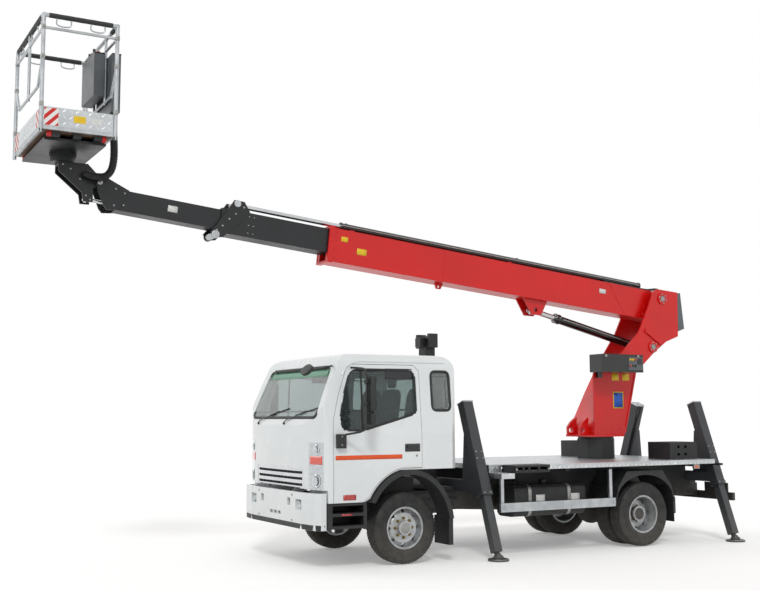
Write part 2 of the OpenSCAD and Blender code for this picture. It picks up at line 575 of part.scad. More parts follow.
// the right plate's front edge leans back with the front web
far_pts = [[-3734, turret_z], [-3255, turret_z], [-3255, 1460], [-3525, 1935], [-3800, 2375], [-4060, 2720], [-4250, 3080],
    [-4340, 3290], [-4420, 3330], [-4790, 3300], [-4775, 2690], [-4554, 2610], [-4327, 2455], [-3997, 2180], [-3790, 1390]];
function reversed(p) = [for (i = [len(p) - 1 : -1 : 0]) p[i]];
module turret() color("red") difference() {
    union() {
        slab(reversed(plate_pts), turret_y - turret_t, turret_y);
        slab(reversed(far_pts), -turret_y, -turret_y + turret_t);
        translate([slew_x, 0, turret_z]) cylinder(r = 245, h = 25);
        box([-3760, -turret_y, turret_z], [-3180, turret_y, turret_z + 25]);
        // rear web and leaning front web between the plates
        slab([[-3734, turret_z + 1], [-3714, turret_z + 1], [-3770, 1394], [-3978, 2196], [-4214, 2392], [-4228, 2372],
            [-3997, 2180], [-3790, 1390]], -turret_y + 1, turret_y - 1);
        slab([[-3275, turret_z + 1], [-3255, turret_z + 1], [-3255, 1460], [-3525, 1935], [-3790, 2359], [-3807, 2348],
            [-3542, 1925], [-3275, 1455]], -turret_y + 1, turret_y - 1);
        // front anchor lugs
        for (y = [-150, 90]) slab([[-3256, turret_z + 20], [-3110, turret_z + 20], [-3110, turret_z + 130], [-3170, turret_z + 200],
            [-3256, turret_z + 260]], y, y + 40);
        // pins of the boom and of the luffing cylinder with their bosses
        rod_y(piv_x, piv_z, pin_r, -turret_y - 12, turret_y + 12);
        rod_y(cyl_x, cyl_z, pin_r, -turret_y - 12, turret_y + 12);
        // bar behind the cylinder pivot
        both() slab([[-4440, 2560], [-4160, 2740], [-4180, 2780], [-4460, 2600]], turret_y - 1, turret_y + 22);
    }
    for (y = [-160, 80]) translate([-3160, y, turret_z + 85]) rotate([-90, 0, 0]) cylinder(r = 34, h = 60);
}
module turret_cover() color("gray") {
    difference() {
        slab([[-4905, 2800], [-4791, 2760], [-4791, 3290], [-4850, 3300]], -turret_y + 10, turret_y - 10);
        slab([[-4890, 2812], [-4790, 2780], [-4790, 3270], [-4838, 3285]], -turret_y + 20, turret_y - 20);
    }
    for (z = [2850, 3160]) both() {
        box([-4840, turret_y - turret_t - 25, z], [-4793, turret_y - turret_t + 1, z + 60]);
        box([-4794, turret_y - turret_t - 25, z], [-4740, turret_y - turret_t - SEAT, z + 60]);
    }
}
module control_box() color("black") {
    box([-3850, turret_y + 60, 2165], [-3150, turret_y + 300, 2395]);
    for (x = [-3800, -3360]) box([x, turret_y + SEAT, x < -3500 ? 2290 : 2100], [x + 60, turret_y + 61, x < -3500 ? 2340 : 2180]);
}

// ---- luffing cylinder: barrel on the turret, rod eye in the boom's bracket ----
eye_x = piv_x + eye_u * cos(luff) - eye_v * sin(luff);
eye_z = piv_z + eye_u * sin(luff) + eye_v * cos(luff);
cyl_ang = atan2(eye_z - cyl_z, eye_x - cyl_x);
cyl_len = norm([eye_x - cyl_x, eye_z - cyl_z]);
barrel_len = 1520;
module cyl_frame() translate([cyl_x, 0, cyl_z]) rotate([0, -cyl_ang, 0]) children();
module luff_barrel() color("black") cyl_frame() {
    difference() {
        union() {
            rod_y(0, 0, 70, -60, 60);
            rod_x(30, barrel_len, 0, 0, luff_r);
            rod_x(barrel_len - 70, barrel_len, 0, 0, luff_r + 8);
        }
        rod_y(0, 0, pin_r + FIT, -61, 61);
        rod_x(110, barrel_len - 60, 0, 0, luff_r - 9);
        rod_x(110, barrel_len + 1, 0, 0, luff_rod_r + SEAT);
    }
}
module luff_rod() color("silver") cyl_frame() {
    rod_x(620, cyl_len - 40, 0, 0, luff_rod_r);
    rod_x(620, 690, 0, 0, luff_r - 9 - SEAT);
    difference() {
        rod_y(cyl_len, 0, 48, -38, 38);
        rod_y(cyl_len, 0, 30, -40, 40);
    }
}

// ---- boom ----
base_bot = base_top - base_h;
mid_y = base_y - boom_t - 10;
mid_top = base_top - boom_t - 7;
mid_h = 283;
tip_y = mid_y - boom_t - 8;
tip_top = mid_top - boom_t - 9;
tip_h = 227;
mid_front = 6400;      // front end of the middle section
tip_front = 7690;
ext_v = base_top + 62; // line of the extension cylinder
ext_r = 45;
ext_rod_r = 28;
module section(u0, u1, y, v0, v1, t) difference() {
    box([u0, -y, v0], [u1, y, v1]);
    box([u0 - 1, -y + t, v0 + t], [u1 + 1, y - t, v1 - t]);
}
module boom_base() color("red") boom_frame() difference() {
    union() {
        section(-70, base_len, base_y, base_bot, base_top, boom_t);
        box([-70, -base_y, base_bot], [-58, base_y, base_top]);
        // pivot boss
        rod_y(0, 0, 75, -turret_y + turret_t + 6, turret_y - turret_t - 6);
        // collar at the front end
        difference() {
            box([base_len - 60, -base_y - 14, base_bot - 14], [base_len, base_y + 14, base_top + 14]);
            box([base_len - 61, -base_y + 1, base_bot + 1], [base_len + 1, base_y - 1, base_top - 1]);
        }
        // wear pads under the middle section
        both() box([base_len - 120, base_y - 60, base_bot + boom_t - 1], [base_len - 4, base_y - boom_t - 5, mid_top - mid_h - 0.5]);
        // bracket of the luffing cylinder
        both() slab([[eye_u - 170, base_bot + 1], [eye_u - 90, eye_v - 60], [eye_u + 60, eye_v - 70], [eye_u + 210, base_bot + 1]], 70, 90);
        // sling lug under the seam
        slab([[3390, base_bot + 1], [3420, base_bot - 70], [3480, base_bot - 70], [3510, base_bot + 1]], -12, 12);
        // saddles of the extension cylinder
        for (u = [220, 2400, 4700]) box([u, -50, base_top - 1], [u + 60, 50, ext_v - ext_r + 14]);
    }
    rod_y(0, 0, pin_r + FIT, -300, 300);
    both() rod_y(eye_u, eye_v, 30, 60, 100);
    translate([3450, -20, base_bot - 42]) rotate([-90, 0, 0]) cylinder(r = 16, h = 40);
    rod_x(200, 4900, 0, ext_v, ext_r + SEAT);
}
module extension_barrel() color("black") boom_frame() difference() {
    rod_x(210, 4880, 0, ext_v, ext_r);
    rod_x(260, 4820, 0, ext_v, ext_r - 8);
    rod_x(300, 4881, 0, ext_v, ext_rod_r + SEAT);
}
bracket_pts = [[mid_front - 330, mid_top], [mid_front - 250, mid_top + 110], [mid_front - 130, mid_top + 110],
    [mid_front + 60, mid_top - mid_h + 60], [mid_front + 110, mid_top - mid_h - 10], [mid_front + 60, mid_top - mid_h - 70],
    [mid_front - 40, mid_top - mid_h - 50]];
module boom_mid() color("black") boom_frame() difference() {
    union() {
        section(mid_front - slide_len, mid_front, mid_y, mid_top - mid_h, mid_top, boom_t - 2);
        // head bracket with its rollers
        both() slab([for (i = [len(bracket_pts) - 1 : -1 : 0]) bracket_pts[i]], mid_y - 1, mid_y + 14);
        box([mid_front - 250, -mid_y - 13, mid_top - 1], [mid_front - 230, mid_y + 13, mid_top + 108]);
        rod_y(mid_front + 50, mid_top - mid_h - 34, 34, -mid_y, mid_y);
        rod_y(mid_front - 170, mid_top + 75, 28, -mid_y, mid_y);
        // wear pads
        both() box([mid_front - slide_len + 5, mid_y - 60, mid_top - 1], [mid_front - slide_len + 120, mid_y - 10, base_top - boom_t - 0.5]);
        both() box([mid_front - 100, mid_y - 50, mid_top - mid_h + boom_t - 3], [mid_front - 4, mid_y - boom_t - 4, tip_top - tip_h - 0.5]);
    }
    rod_x(mid_front - 260, mid_front - 220, 0, ext_v, ext_rod_r + SEAT);
}
module extension_rod() color("silver") boom_frame() {
    rod_x(mid_front - 230 - 4600, mid_front - 229, 0, ext_v, ext_rod_r);
    rod_x(mid_front - 228.5, mid_front - 200, 0, ext_v, 40);
    rod_x(mid_front - 230 - 4600, mid_front - 230 - 4540, 0, ext_v, ext_r - 8 - SEAT);
    rod_x(mid_front - 230, mid_front - 228, 0, ext_v, 20);
}
nose_pts = [[tip_front - 230, tip_top - 5], [tip_front - 240, tip_top + 2], [tip_front + 10, link_v + 62], [link_u - 20, link_v + 62], [link_u + 50, link_v],
    [link_u + 20, link_v - 60], [tip_front + 20, tip_top - tip_h + 20], [tip_front - 20, tip_top - tip_h - 20], [tip_front - 140, tip_top - tip_h]];
module boom_tip() color("black") boom_frame() difference() {
    union() {
        section(tip_front - slide_len, tip_front - 115, tip_y, tip_top - tip_h, tip_top, boom_t - 4);
        both() slab([for (i = [len(nose_pts) - 1 : -1 : 0]) nose_pts[i]], tip_y - 1, tip_y + 14);
        // gland of the levelling rod
        box([tip_front - 200, -tip_y + 1, level_v - 42], [tip_front - 160, tip_y - 1, level_v + 42]);
        both() box([tip_front - slide_len + 5, tip_y - 50, tip_top - 1], [tip_front - slide_len + 120, tip_y - 10, mid_top - boom_t + 2 - 0.5]);
    }
    both() rod_y(link_u, link_v, 25 + FIT, 0, tip_y + 40);
    rod_x(tip_front - 201, tip_front - 159, 0, level_v, 20 + SEAT);
}
// levelling rod between the tip section and the link's lower arm
level_v = link_v - 185;
module level_rod() color("silver") boom_frame() {
    rod_x(tip_front - 700, link_u + 60, 0, level_v, 20);
    rod_y(link_u + 100, level_v, 34, -20, 20);
    rod_x(link_u + 59, link_u + 80, 0, level_v, 20);
}
module basket_link() color("black") {
    link_y = tip_y - 13;
    // side plates from the pivot up to the rotor
    both() slab([[link_x - 45, link_z - 20], [link_x - 10, link_z - 50], [link_x + 60, link_z - 60],
        [link_x + 60, link_z - 215], [link_x + 160, link_z - 215], [link_x + 175, link_z - 120],
        [rotor_x + 60, link_z + 90], [rotor_x + 60, link_z + 190], [link_x + 120, link_z + 190],
        [link_x - 30, link_z + 40]], link_y - 16, link_y);
    box([link_x + 130, -link_y, link_z + 150], [rotor_x + 60, link_y, link_z + 190]);
    rod_y(link_x, link_z, 25, -tip_y - 30, tip_y + 30);
    translate([rotor_x, 0, link_z + 189]) cylinder(r = 130, h = 60);
}

// ---- basket ----
bx0 = rotor_x - basket_d / 2;
bx1 = rotor_x + basket_d / 2;
by = basket_w / 2;
bz = floor_z;
rail = floor_z + basket_h;
tr = tube_d / 2;
tray_h = 200;
module basket() color("silver") {
    difference() {
        box([bx0, -by, bz - 30], [bx1, by, bz + tray_h]);
        box([bx0 + 5, -by + 5, bz], [bx1 - 5, by - 5, bz + tray_h + 1]);
    }
    for (x = [bx0, bx1]) {
        for (y = [-by, by]) tube([x, y, bz - 60], [x, y, rail], tr);
        // middle rail, bent up to the corner posts, and the posts over it
        tube([x, -by + 190, bz + 440], [x, by - 190, bz + 440], tr - 6);
        for (s = [-1, 1]) tube([x, s * (by - 205), bz + 437], [x, s * by, bz + 700], tr - 7);
        for (y = x == bx0 ? [-by / 3, by / 3] : [0]) tube([x, y, bz + 415], [x, y, rail], tr - 5);
        tube([x, -by - tr + 3, rail], [x, by + tr - 3, rail], tr);
        tube([x, -by, rail - 130], [x, by, rail - 130], tr - 6);
    }
    for (y = [-by, by]) tube([bx0, y, rail], [bx1, y, rail], tr);
    tube([bx0, by, rail - 130], [bx1, by, rail - 130], tr - 6);
}
// steel load frame on the rotor
module basket_frame() color("black") {
    for (x = [bx0 + 120, rotor_x - 40, bx1 - 200]) box([x, -by + 40, bz - 80], [x + 80, by - 40, bz - 30 - SEAT]);
    box([bx0 + 60, -by + 120, bz - 106], [bx1 - 60, by - 120, bz - 79]);
    translate([rotor_x, 0, link_z + 249.5]) cylinder(r = 140, h = bz - 105 - link_z - 249.5);
}
module basket_console() color("gray") {
    box([bx0 + tr - 5 + SEAT, -260, bz + 500], [bx0 + 130, 260, rail - 160]);
    box([bx0 - 110, -200, bz + 300], [bx0 - tr + 5 - SEAT, 420, rail - 200]);
}
// corrugated hose from the console down to the link
hose_r = 42;
hose_pts = [[bx0 - 70, 330, bz + 300 - SEAT], [bx0 - 70, 330, bz + 200], [bx0 - 76, 322, bz + 80], [bx0 - 90, 300, bz - 60], [bx0 - 95, 270, bz - 180], [bx0 - 80, 235, bz - 280],
    [bx0 - 30, 205, bz - 340], [bx0 + 50, 185, bz - 350], [bx0 + 120, 160, bz - 335], [bx0 + 170, 135, bz - 310]];
function along(p, i) = (i == 0 ? p[1] - p[0] : i == len(p) - 1 ? p[i] - p[i - 1] : p[i + 1] - p[i - 1]);
function unit(v) = v / norm(v);
module sweep(p, r, n) {
    m = len(p);
    pts = [for (i = [0 : m - 1]) let (t = unit(along(p, i)), s = unit(cross(t, [0.3, 1, 0])), w = cross(t, s))
        for (k = [0 : n - 1]) p[i] + r * (cos(360 * k / n) * s + sin(360 * k / n) * w)];
    sides = [for (i = [0 : m - 2]) for (k = [0 : n - 1]) [i * n + k, i * n + (k + 1) % n, (i + 1) * n + (k + 1) % n, (i + 1) * n + k]];
    polyhedron(pts, concat([[for (k = [n - 1 : -1 : 0]) k]], sides, [[for (k = [0 : n - 1]) (m - 1) * n + k]]), convexity = 6);
}
module basket_hose() color("black") sweep(hose_pts, hose_r, 10);

place() frame();
place() subframe();
place() front_axle();
place() rear_axle();
place() engine();
place() front_bumper();
place() tanks();
place() spare_wheel();
place() deck();
place() deck_fittings();
place() side_guards();
place() rear_fenders();
place() rear_bumper();
place() boom_rest();
place() outrigger_housings();
place() pedestal();
place() cab_shell();
place() front_panel();
place() cab_glass();
place() grille();
place() headlights();
place() dashboard();
place() seats();
place() cab_trim();
place() left_door();
place() right_door();
place() left_door_glass();
place() right_door_glass();
place() left_mirror();
place() right_mirror();
place() left_knuckle();
place() right_knuckle();
place() front_left_rim();
place() front_left_tyre();
place() front_right_rim();
place() front_right_tyre();
place() rear_left_rims();
place() rear_left_tyres();
place() rear_right_rims();
place() rear_right_tyres();
place() front_left_leg();
place() front_right_leg();
place() rear_left_leg();
place() rear_right_leg();
place() turret();
place() turret_cover();
place() control_box();
place() luff_barrel();
place() luff_rod();
place() boom_base();
place() extension_barrel();
place() boom_mid();
place() extension_rod();
place() boom_tip();
place() level_rod();
place() basket_link();
place() basket();
place() basket_frame();
place() basket_console();
place() basket_hose();
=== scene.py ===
import bmesh
import bpy
import math
import numpy as np
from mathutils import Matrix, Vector
from mathutils.bvhtree import BVHTree


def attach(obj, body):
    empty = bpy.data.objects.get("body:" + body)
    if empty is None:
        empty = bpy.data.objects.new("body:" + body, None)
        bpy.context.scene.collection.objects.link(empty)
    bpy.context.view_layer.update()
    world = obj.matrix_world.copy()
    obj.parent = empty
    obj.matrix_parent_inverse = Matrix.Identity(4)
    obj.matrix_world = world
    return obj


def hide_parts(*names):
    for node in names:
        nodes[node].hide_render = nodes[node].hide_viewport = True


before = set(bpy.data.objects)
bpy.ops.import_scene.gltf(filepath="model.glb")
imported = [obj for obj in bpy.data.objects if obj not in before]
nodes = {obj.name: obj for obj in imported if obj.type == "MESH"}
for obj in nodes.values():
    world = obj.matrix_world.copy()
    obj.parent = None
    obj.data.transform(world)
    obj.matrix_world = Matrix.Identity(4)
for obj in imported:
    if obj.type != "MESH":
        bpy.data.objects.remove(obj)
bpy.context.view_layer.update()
scene = bpy.context.scene
print("frame loaded:", len(nodes), "nodes")

# where the truck's main stations lie, in metres, in the shared frame
station = {
    "front": 0.459815,      # front axle along x
    "wheelbase": 3.365,
    "axleHeight": 0.392,
    "luff": math.radians(5.8),
    "pivotX": -4.5 + 0.459815,
    "pivotZ": 3.2,
    "linkU": 7.78,          # levelling pin along the boom
    "linkV": 0.097,
    "deckHalf": 1.131,
    "deckTop": 1.045,
}
station["rear"] = station["front"] - station["wheelbase"]
sides = (("left", 1), ("right", -1))    # name and sign of y


def onBoom(points):
    # (along, across, up) measured from the boom's pivot in millimetres, turned by the luff angle
    p = np.atleast_2d(np.asarray(points, float)) / 1000
    c, s = math.cos(station["luff"]), math.sin(station["luff"])
    return np.stack([station["pivotX"] + p[:, 0] * c - p[:, 2] * s, p[:, 1],
                     station["pivotZ"] + p[:, 0] * s + p[:, 2] * c], 1)


# ---------- camera ----------
cameraSet = {"place": (6.5568, 11.440, 1.614), "forward": (-0.4797, -0.8705, 0.1104),
             "up": (0.0492, 0.0990, 0.9939), "lens": 51.6, "sensor": 36}


def makeCamera(c):
    # the camera's axes are right = forward x up, up = right x forward, back = -forward
    f = Vector(c["forward"]).normalized()
    r = f.cross(Vector(c["up"])).normalized()
    u = r.cross(f)
    data = bpy.data.cameras.new("camera")
    data.lens, data.sensor_width = c["lens"], c["sensor"]
    data.clip_end = 200
    o = bpy.data.objects.new("camera", data)
    m = o.matrix_world.copy()
    for i, axis in enumerate((r, u, -f)):
        for j in range(3):
            m[j][i] = axis[j]
    for j in range(3):
        m[j][3] = c["place"][j]
    o.matrix_world = m
    scene.collection.objects.link(o)
    scene.camera = o


makeCamera(cameraSet)


# ---------- materials ----------
def toLinear(text):
    # sRGB hex to linear: divide by 12.92 below 0.04045, else raise (c + 0.055) / 1.055 to 2.4
    c = np.array([int(text[i:i + 2], 16) for i in (1, 3, 5)]) / 255
    c = np.where(c <= 0.04045, c / 12.92, ((c + 0.055) / 1.055) ** 2.4)
    return (*c, 1.0)


def add(tree, kind, links=None, **settings):
    # one node: settings are its properties, links maps an input to a value or to another node's output
    n = tree.nodes.new("ShaderNode" + kind)
    for k, v in settings.items():
        setattr(n, k, v)
    for k, v in (links or {}).items():
        if isinstance(v, bpy.types.NodeSocket):
            tree.links.new(v, n.inputs[k])
        elif isinstance(v, bpy.types.Node):
            tree.links.new(v.outputs[0], n.inputs[k])
        else:
            n.inputs[k].default_value = v
    return n


def newMaterial(name, **sockets):
    # a Principled shader with its plain sockets set, and the piece's own coordinates
    m = bpy.data.materials.new(name)
    m.use_nodes = True
    tree = m.node_tree
    tree.nodes.clear()
    out = add(tree, "OutputMaterial")
    shader = add(tree, "BsdfPrincipled", sockets)
    tree.links.new(shader.outputs[0], out.inputs[0])
    m.diffuse_color = tuple(shader.inputs["Base Color"].default_value)
    return m, tree, shader


def ramp(tree, factor, stops):
    n = add(tree, "ValToRGB", {"Fac": factor})
    e = n.color_ramp.elements
    while len(e) < len(stops):
        e.new(0.5)
    for el, (at, colour) in zip(e, stops):
        el.position = at
        el.color = toLinear(colour) if isinstance(colour, str) else (colour, colour, colour, 1)
    return n


def surfaceMaterial(name, light, dark, patch=0.4, rough=(0.3, 0.4), grain=0.004, bump=0.0, dust=None,
        **sockets):
    # colour drifts between two close tones over patches of
    # that size in metres, roughness between two values,
    # a fine grain lifts the surface, and dust settles below its height
    m, tree, shader = newMaterial(name, **{"Base Color": toLinear(light), **sockets})
    where = add(tree, "TexCoord")
    drift = add(tree, "TexNoise", {"Vector": where.outputs["Object"], "Scale": 1 / patch, "Detail": 4.0,
            "Roughness": 0.55})
    colour = ramp(tree, drift.outputs["Fac"], [(0.35, dark), (0.65, light)]).outputs[0]
    if dust:
        split = add(tree, "SeparateXYZ", {0: where.outputs["Object"]})
        low = add(tree, "MapRange", {"Value": split.outputs["Z"], "From Min": dust["top"],
                "From Max": dust["top"] * 0.2, "To Min": 0.0, "To Max": dust["most"]})
        speck = add(tree, "TexNoise", {"Vector": where.outputs["Object"], "Scale": 14.0, "Detail": 5.0})
        much = add(tree, "Math", {0: low, 1: speck.outputs["Fac"]}, operation="MULTIPLY")
        mix = add(tree, "Mix", {"Factor": much, "A": (0, 0, 0, 1), "B": (0, 0, 0, 1)}, data_type="RGBA")
        tree.links.new(colour, mix.inputs[6])
        mix.inputs[7].default_value = toLinear(dust["colour"])
        colour = mix.outputs[2]
    tree.links.new(colour, shader.inputs["Base Color"])
    smear = add(tree, "MapRange", {"Value": drift.outputs["Fac"], "From Min": 0.3, "From Max": 0.7,
                                   "To Min": rough[0], "To Max": rough[1]})
    tree.links.new(smear.outputs[0], shader.inputs["Roughness"])
    if bump:
        fine = add(tree, "TexNoise", {"Vector": where.outputs["Object"], "Scale": 1 / grain, "Detail": 2.0})
        lift = add(tree, "Bump", {"Height": fine.outputs["Fac"], "Strength": bump, "Distance": grain})
        tree.links.new(lift.outputs[0], shader.inputs["Normal"])
    return m


roadDust = {"colour": "#8A8378", "top": 0.9, "most": 0.5}
looks = {}
# two-pack enamel over pressed steel: glossy white, a little road film low down
looks["whiteEnamel"] = surfaceMaterial("white_two_pack_enamel", "#E4E7E8", "#DCE0E1", 0.8, (0.22, 0.32),
        0.02, 0.02, {"colour": "#9A9890", "top": 0.9, "most": 0.25},
        **{"Coat Weight": 0.4, "Coat Roughness": 0.08})
# brushed-on chassis enamel over rolled steel: near black, dull with dust
looks["chassisEnamel"] = surfaceMaterial("chassis_black_enamel", "#1B1C1E", "#131415", 0.3, (0.45, 0.65),
        0.006, 0.15, roadDust)
# dark grey polyurethane paint on welded box: satin, scuffed
looks["greyEnamel"] = surfaceMaterial("satin_grey_polyurethane", "#3A3D40", "#303336", 0.25, (0.38, 0.52),
        0.005, 0.08, {"colour": "#77736C", "top": 0.7, "most": 0.4})
# red polyurethane paint sprayed on plate: glossy with a faint orange peel
looks["redEnamel"] = surfaceMaterial("red_polyurethane_enamel", "#D40A06", "#C70805", 0.9, (0.30, 0.40),
        0.012, 0.05, **{"Coat Weight": 0.08, "Coat Roughness": 0.1})
# satin black paint on folded boom sections: streaked by the wear pads
looks["boomBlack"] = surfaceMaterial("satin_black_boom_paint", "#191B1E", "#101214", 0.5, (0.34, 0.5),
        0.008, 0.08)
# hard chrome plate ground smooth: bright, hardly any grain
looks["hardChrome"] = surfaceMaterial("hard_chrome_plate", "#C9CBCD", "#BFC1C4", 0.1, (0.1, 0.18),
        **{"Metallic": 1.0})
# decorative chrome on ABS: mirror bright
looks["trimChrome"] = surfaceMaterial("bright_chrome_on_abs", "#D5D8DA", "#C8CBCE", 0.2, (0.08, 0.14),
        **{"Metallic": 1.0})
# extruded aluminium, lightly weathered: grey sheen
looks["tubeAluminium"] = surfaceMaterial("weathered_extruded_aluminium", "#C0C3C5", "#A9ADB0", 0.12,
        (0.32, 0.46), 0.003, 0.06, **{"Metallic": 1.0})
# zinc plated steel: duller and greyer than aluminium
looks["zincSteel"] = surfaceMaterial("zinc_plated_steel", "#A5A6A3", "#8E8F8C", 0.05, (0.36, 0.5),
        **{"Metallic": 1.0})
# silver lacquer on a pressed steel wheel: fine metallic paint with brake dust
looks["wheelSilver"] = surfaceMaterial("silver_wheel_lacquer", "#B9BCBE", "#9C9D9C", 0.09, (0.32, 0.46),
        0.003, 0.05, **{"Metallic": 0.55})
# cast iron painted once and dusty
looks["castIron"] = surfaceMaterial("dusty_cast_iron", "#3A3937", "#28272A", 0.12, (0.6, 0.78), 0.006, 0.3,
        roadDust)
# vulcanised rubber: dull black with a brown-grey bloom
looks["tyreRubber"] = surfaceMaterial("vulcanised_tyre_rubber", "#1F1F20", "#2B2A28", 0.08, (0.62, 0.8),
        0.002, 0.12, {"colour": "#6F6A60", "top": 0.5, "most": 0.5})
# EPDM rubber of seals, hoses and mounts: soft black
looks["softRubber"] = surfaceMaterial("epdm_rubber", "#121314", "#1A1B1B", 0.05, (0.5, 0.62), 0.002, 0.05)
# polypropylene moulding with a leather-like grain: dull black
looks["grainedPlastic"] = surfaceMaterial("grained_black_polypropylene", "#1C1D1F", "#232425", 0.15,
        (0.48, 0.62), 0.003, 0.25)
# smooth dark grey ABS housing
looks["greyPlastic"] = surfaceMaterial("grey_abs_moulding", "#5B6063", "#51565A", 0.2, (0.34, 0.46), 0.003,
        0.06)
# glossy black ABS
looks["glossBlack"] = surfaceMaterial("gloss_black_abs", "#0E0F10", "#141516", 0.2, (0.16, 0.26),
        **{"Coat Weight": 0.3})
# self-adhesive vinyl films, faded a little
looks["yellowVinyl"] = surfaceMaterial("yellow_vinyl_film", "#E8C21A", "#DDB618", 0.06, (0.35, 0.45))
looks["whiteVinyl"] = surfaceMaterial("white_vinyl_film", "#DADBD8", "#CFD0CC", 0.06, (0.35, 0.45))
looks["blueVinyl"] = surfaceMaterial("blue_vinyl_film", "#1F57B8", "#1C4FA8", 0.06, (0.35, 0.45))
looks["orangeVinyl"] = surfaceMaterial("orange_reflective_film", "#E8571A", "#DB4E14", 0.06, (0.3, 0.42))
# yellow passivated brass-coloured wheel nuts
looks["nutBrass"] = surfaceMaterial("yellow_passivated_nut", "#8C7A45", "#6A5C38", 0.02, (0.35, 0.5),
        **{"Metallic": 1.0})
# moulded acrylic lenses: coloured, clear gloss over a bright ground
looks["amberLens"] = surfaceMaterial("amber_acrylic_lens", "#E2621A", "#D65412", 0.02, (0.1, 0.16),
        **{"Coat Weight": 1.0, "Coat Roughness": 0.05})
looks["redLens"] = surfaceMaterial("red_acrylic_lens", "#B8140F", "#A8100C", 0.02, (0.1, 0.16),
        **{"Coat Weight": 1.0, "Coat Roughness": 0.05})
looks["indicatorLens"] = surfaceMaterial("red_orange_acrylic_lens", "#E4503C", "#D84632", 0.02, (0.1, 0.16),
        **{"Coat Weight": 1.0, "Coat Roughness": 0.05})
looks["lampBowl"] = surfaceMaterial("aluminised_lamp_reflector", "#C6CBCE", "#AFB5BA", 0.03, (0.12, 0.22),
        **{"Metallic": 0.9, "Coat Weight": 1.0, "Coat Roughness": 0.03})


def glassMaterial(name, tint, rough, weight):
    # soda-lime sheet: clear, faintly green from iron, smooth on both faces
    m, tree, shader = newMaterial(name, **{"Base Color": toLinear(tint), "Roughness": rough,
            "Transmission Weight": weight, "IOR": 1.45})
    where = add(tree, "TexCoord")
    film = add(tree, "TexNoise", {"Vector": where.outputs["Object"], "Scale": 6.0, "Detail": 3.0})
    haze = add(tree, "MapRange", {"Value": film.outputs["Fac"], "From Min": 0.45, "From Max": 0.8,
            "To Min": rough, "To Max": rough + 0.04})
    tree.links.new(haze.outputs[0], shader.inputs["Roughness"])
    return m


looks["glazing"] = glassMaterial("tinted_float_glass", "#EAF1EF", 0.0, 0.92)
# the doors carry a darker privacy tint
looks["sideGlazing"] = glassMaterial("dark_tinted_float_glass", "#8FA09E", 0.0, 0.92)
looks["mirrorGlass"] = surfaceMaterial("silvered_mirror_glass", "#D9DDE0", "#D2D6DA", 0.1, (0.02, 0.04),
        **{"Metallic": 1.0})


def clothMaterial(name, light, dark, thread):
    # plain weave: two crossed waves at the thread spacing, each lifting every other thread
    m, tree, shader = newMaterial(name, **{"Base Color": toLinear(light), "Roughness": 0.85,
            "Sheen Weight": 0.3})
    where = add(tree, "TexCoord")
    size = 2 * math.pi / (20 * thread)
    warp = add(tree, "TexWave", {"Vector": where.outputs["Object"], "Scale": size}, bands_direction="Y")
    weft = add(tree, "TexWave", {"Vector": where.outputs["Object"], "Scale": size}, bands_direction="Z")
    both = add(tree, "Math", {0: warp.outputs["Fac"], 1: weft.outputs["Fac"]}, operation="MAXIMUM")
    tint = ramp(tree, both.outputs[0], [(0.2, dark), (0.8, light)])
    tree.links.new(tint.outputs[0], shader.inputs["Base Color"])
    lift = add(tree, "Bump", {"Height": both.outputs[0], "Strength": 0.5, "Distance": thread})
    tree.links.new(lift.outputs[0], shader.inputs["Normal"])
    return m


# woven polyester seat cloth; the 6 mm thread is drawn coarser than the real 1 mm so that it shows
looks["seatCloth"] = clothMaterial("woven_polyester_cloth", "#55585E", "#3B3D42", 0.006)
# vinyl-coated foam of the basket's hand rail: dark, dull
looks["railVinyl"] = surfaceMaterial("vinyl_coated_foam", "#2B2C2E", "#222324", 0.1, (0.55, 0.7), 0.004,
        0.2)


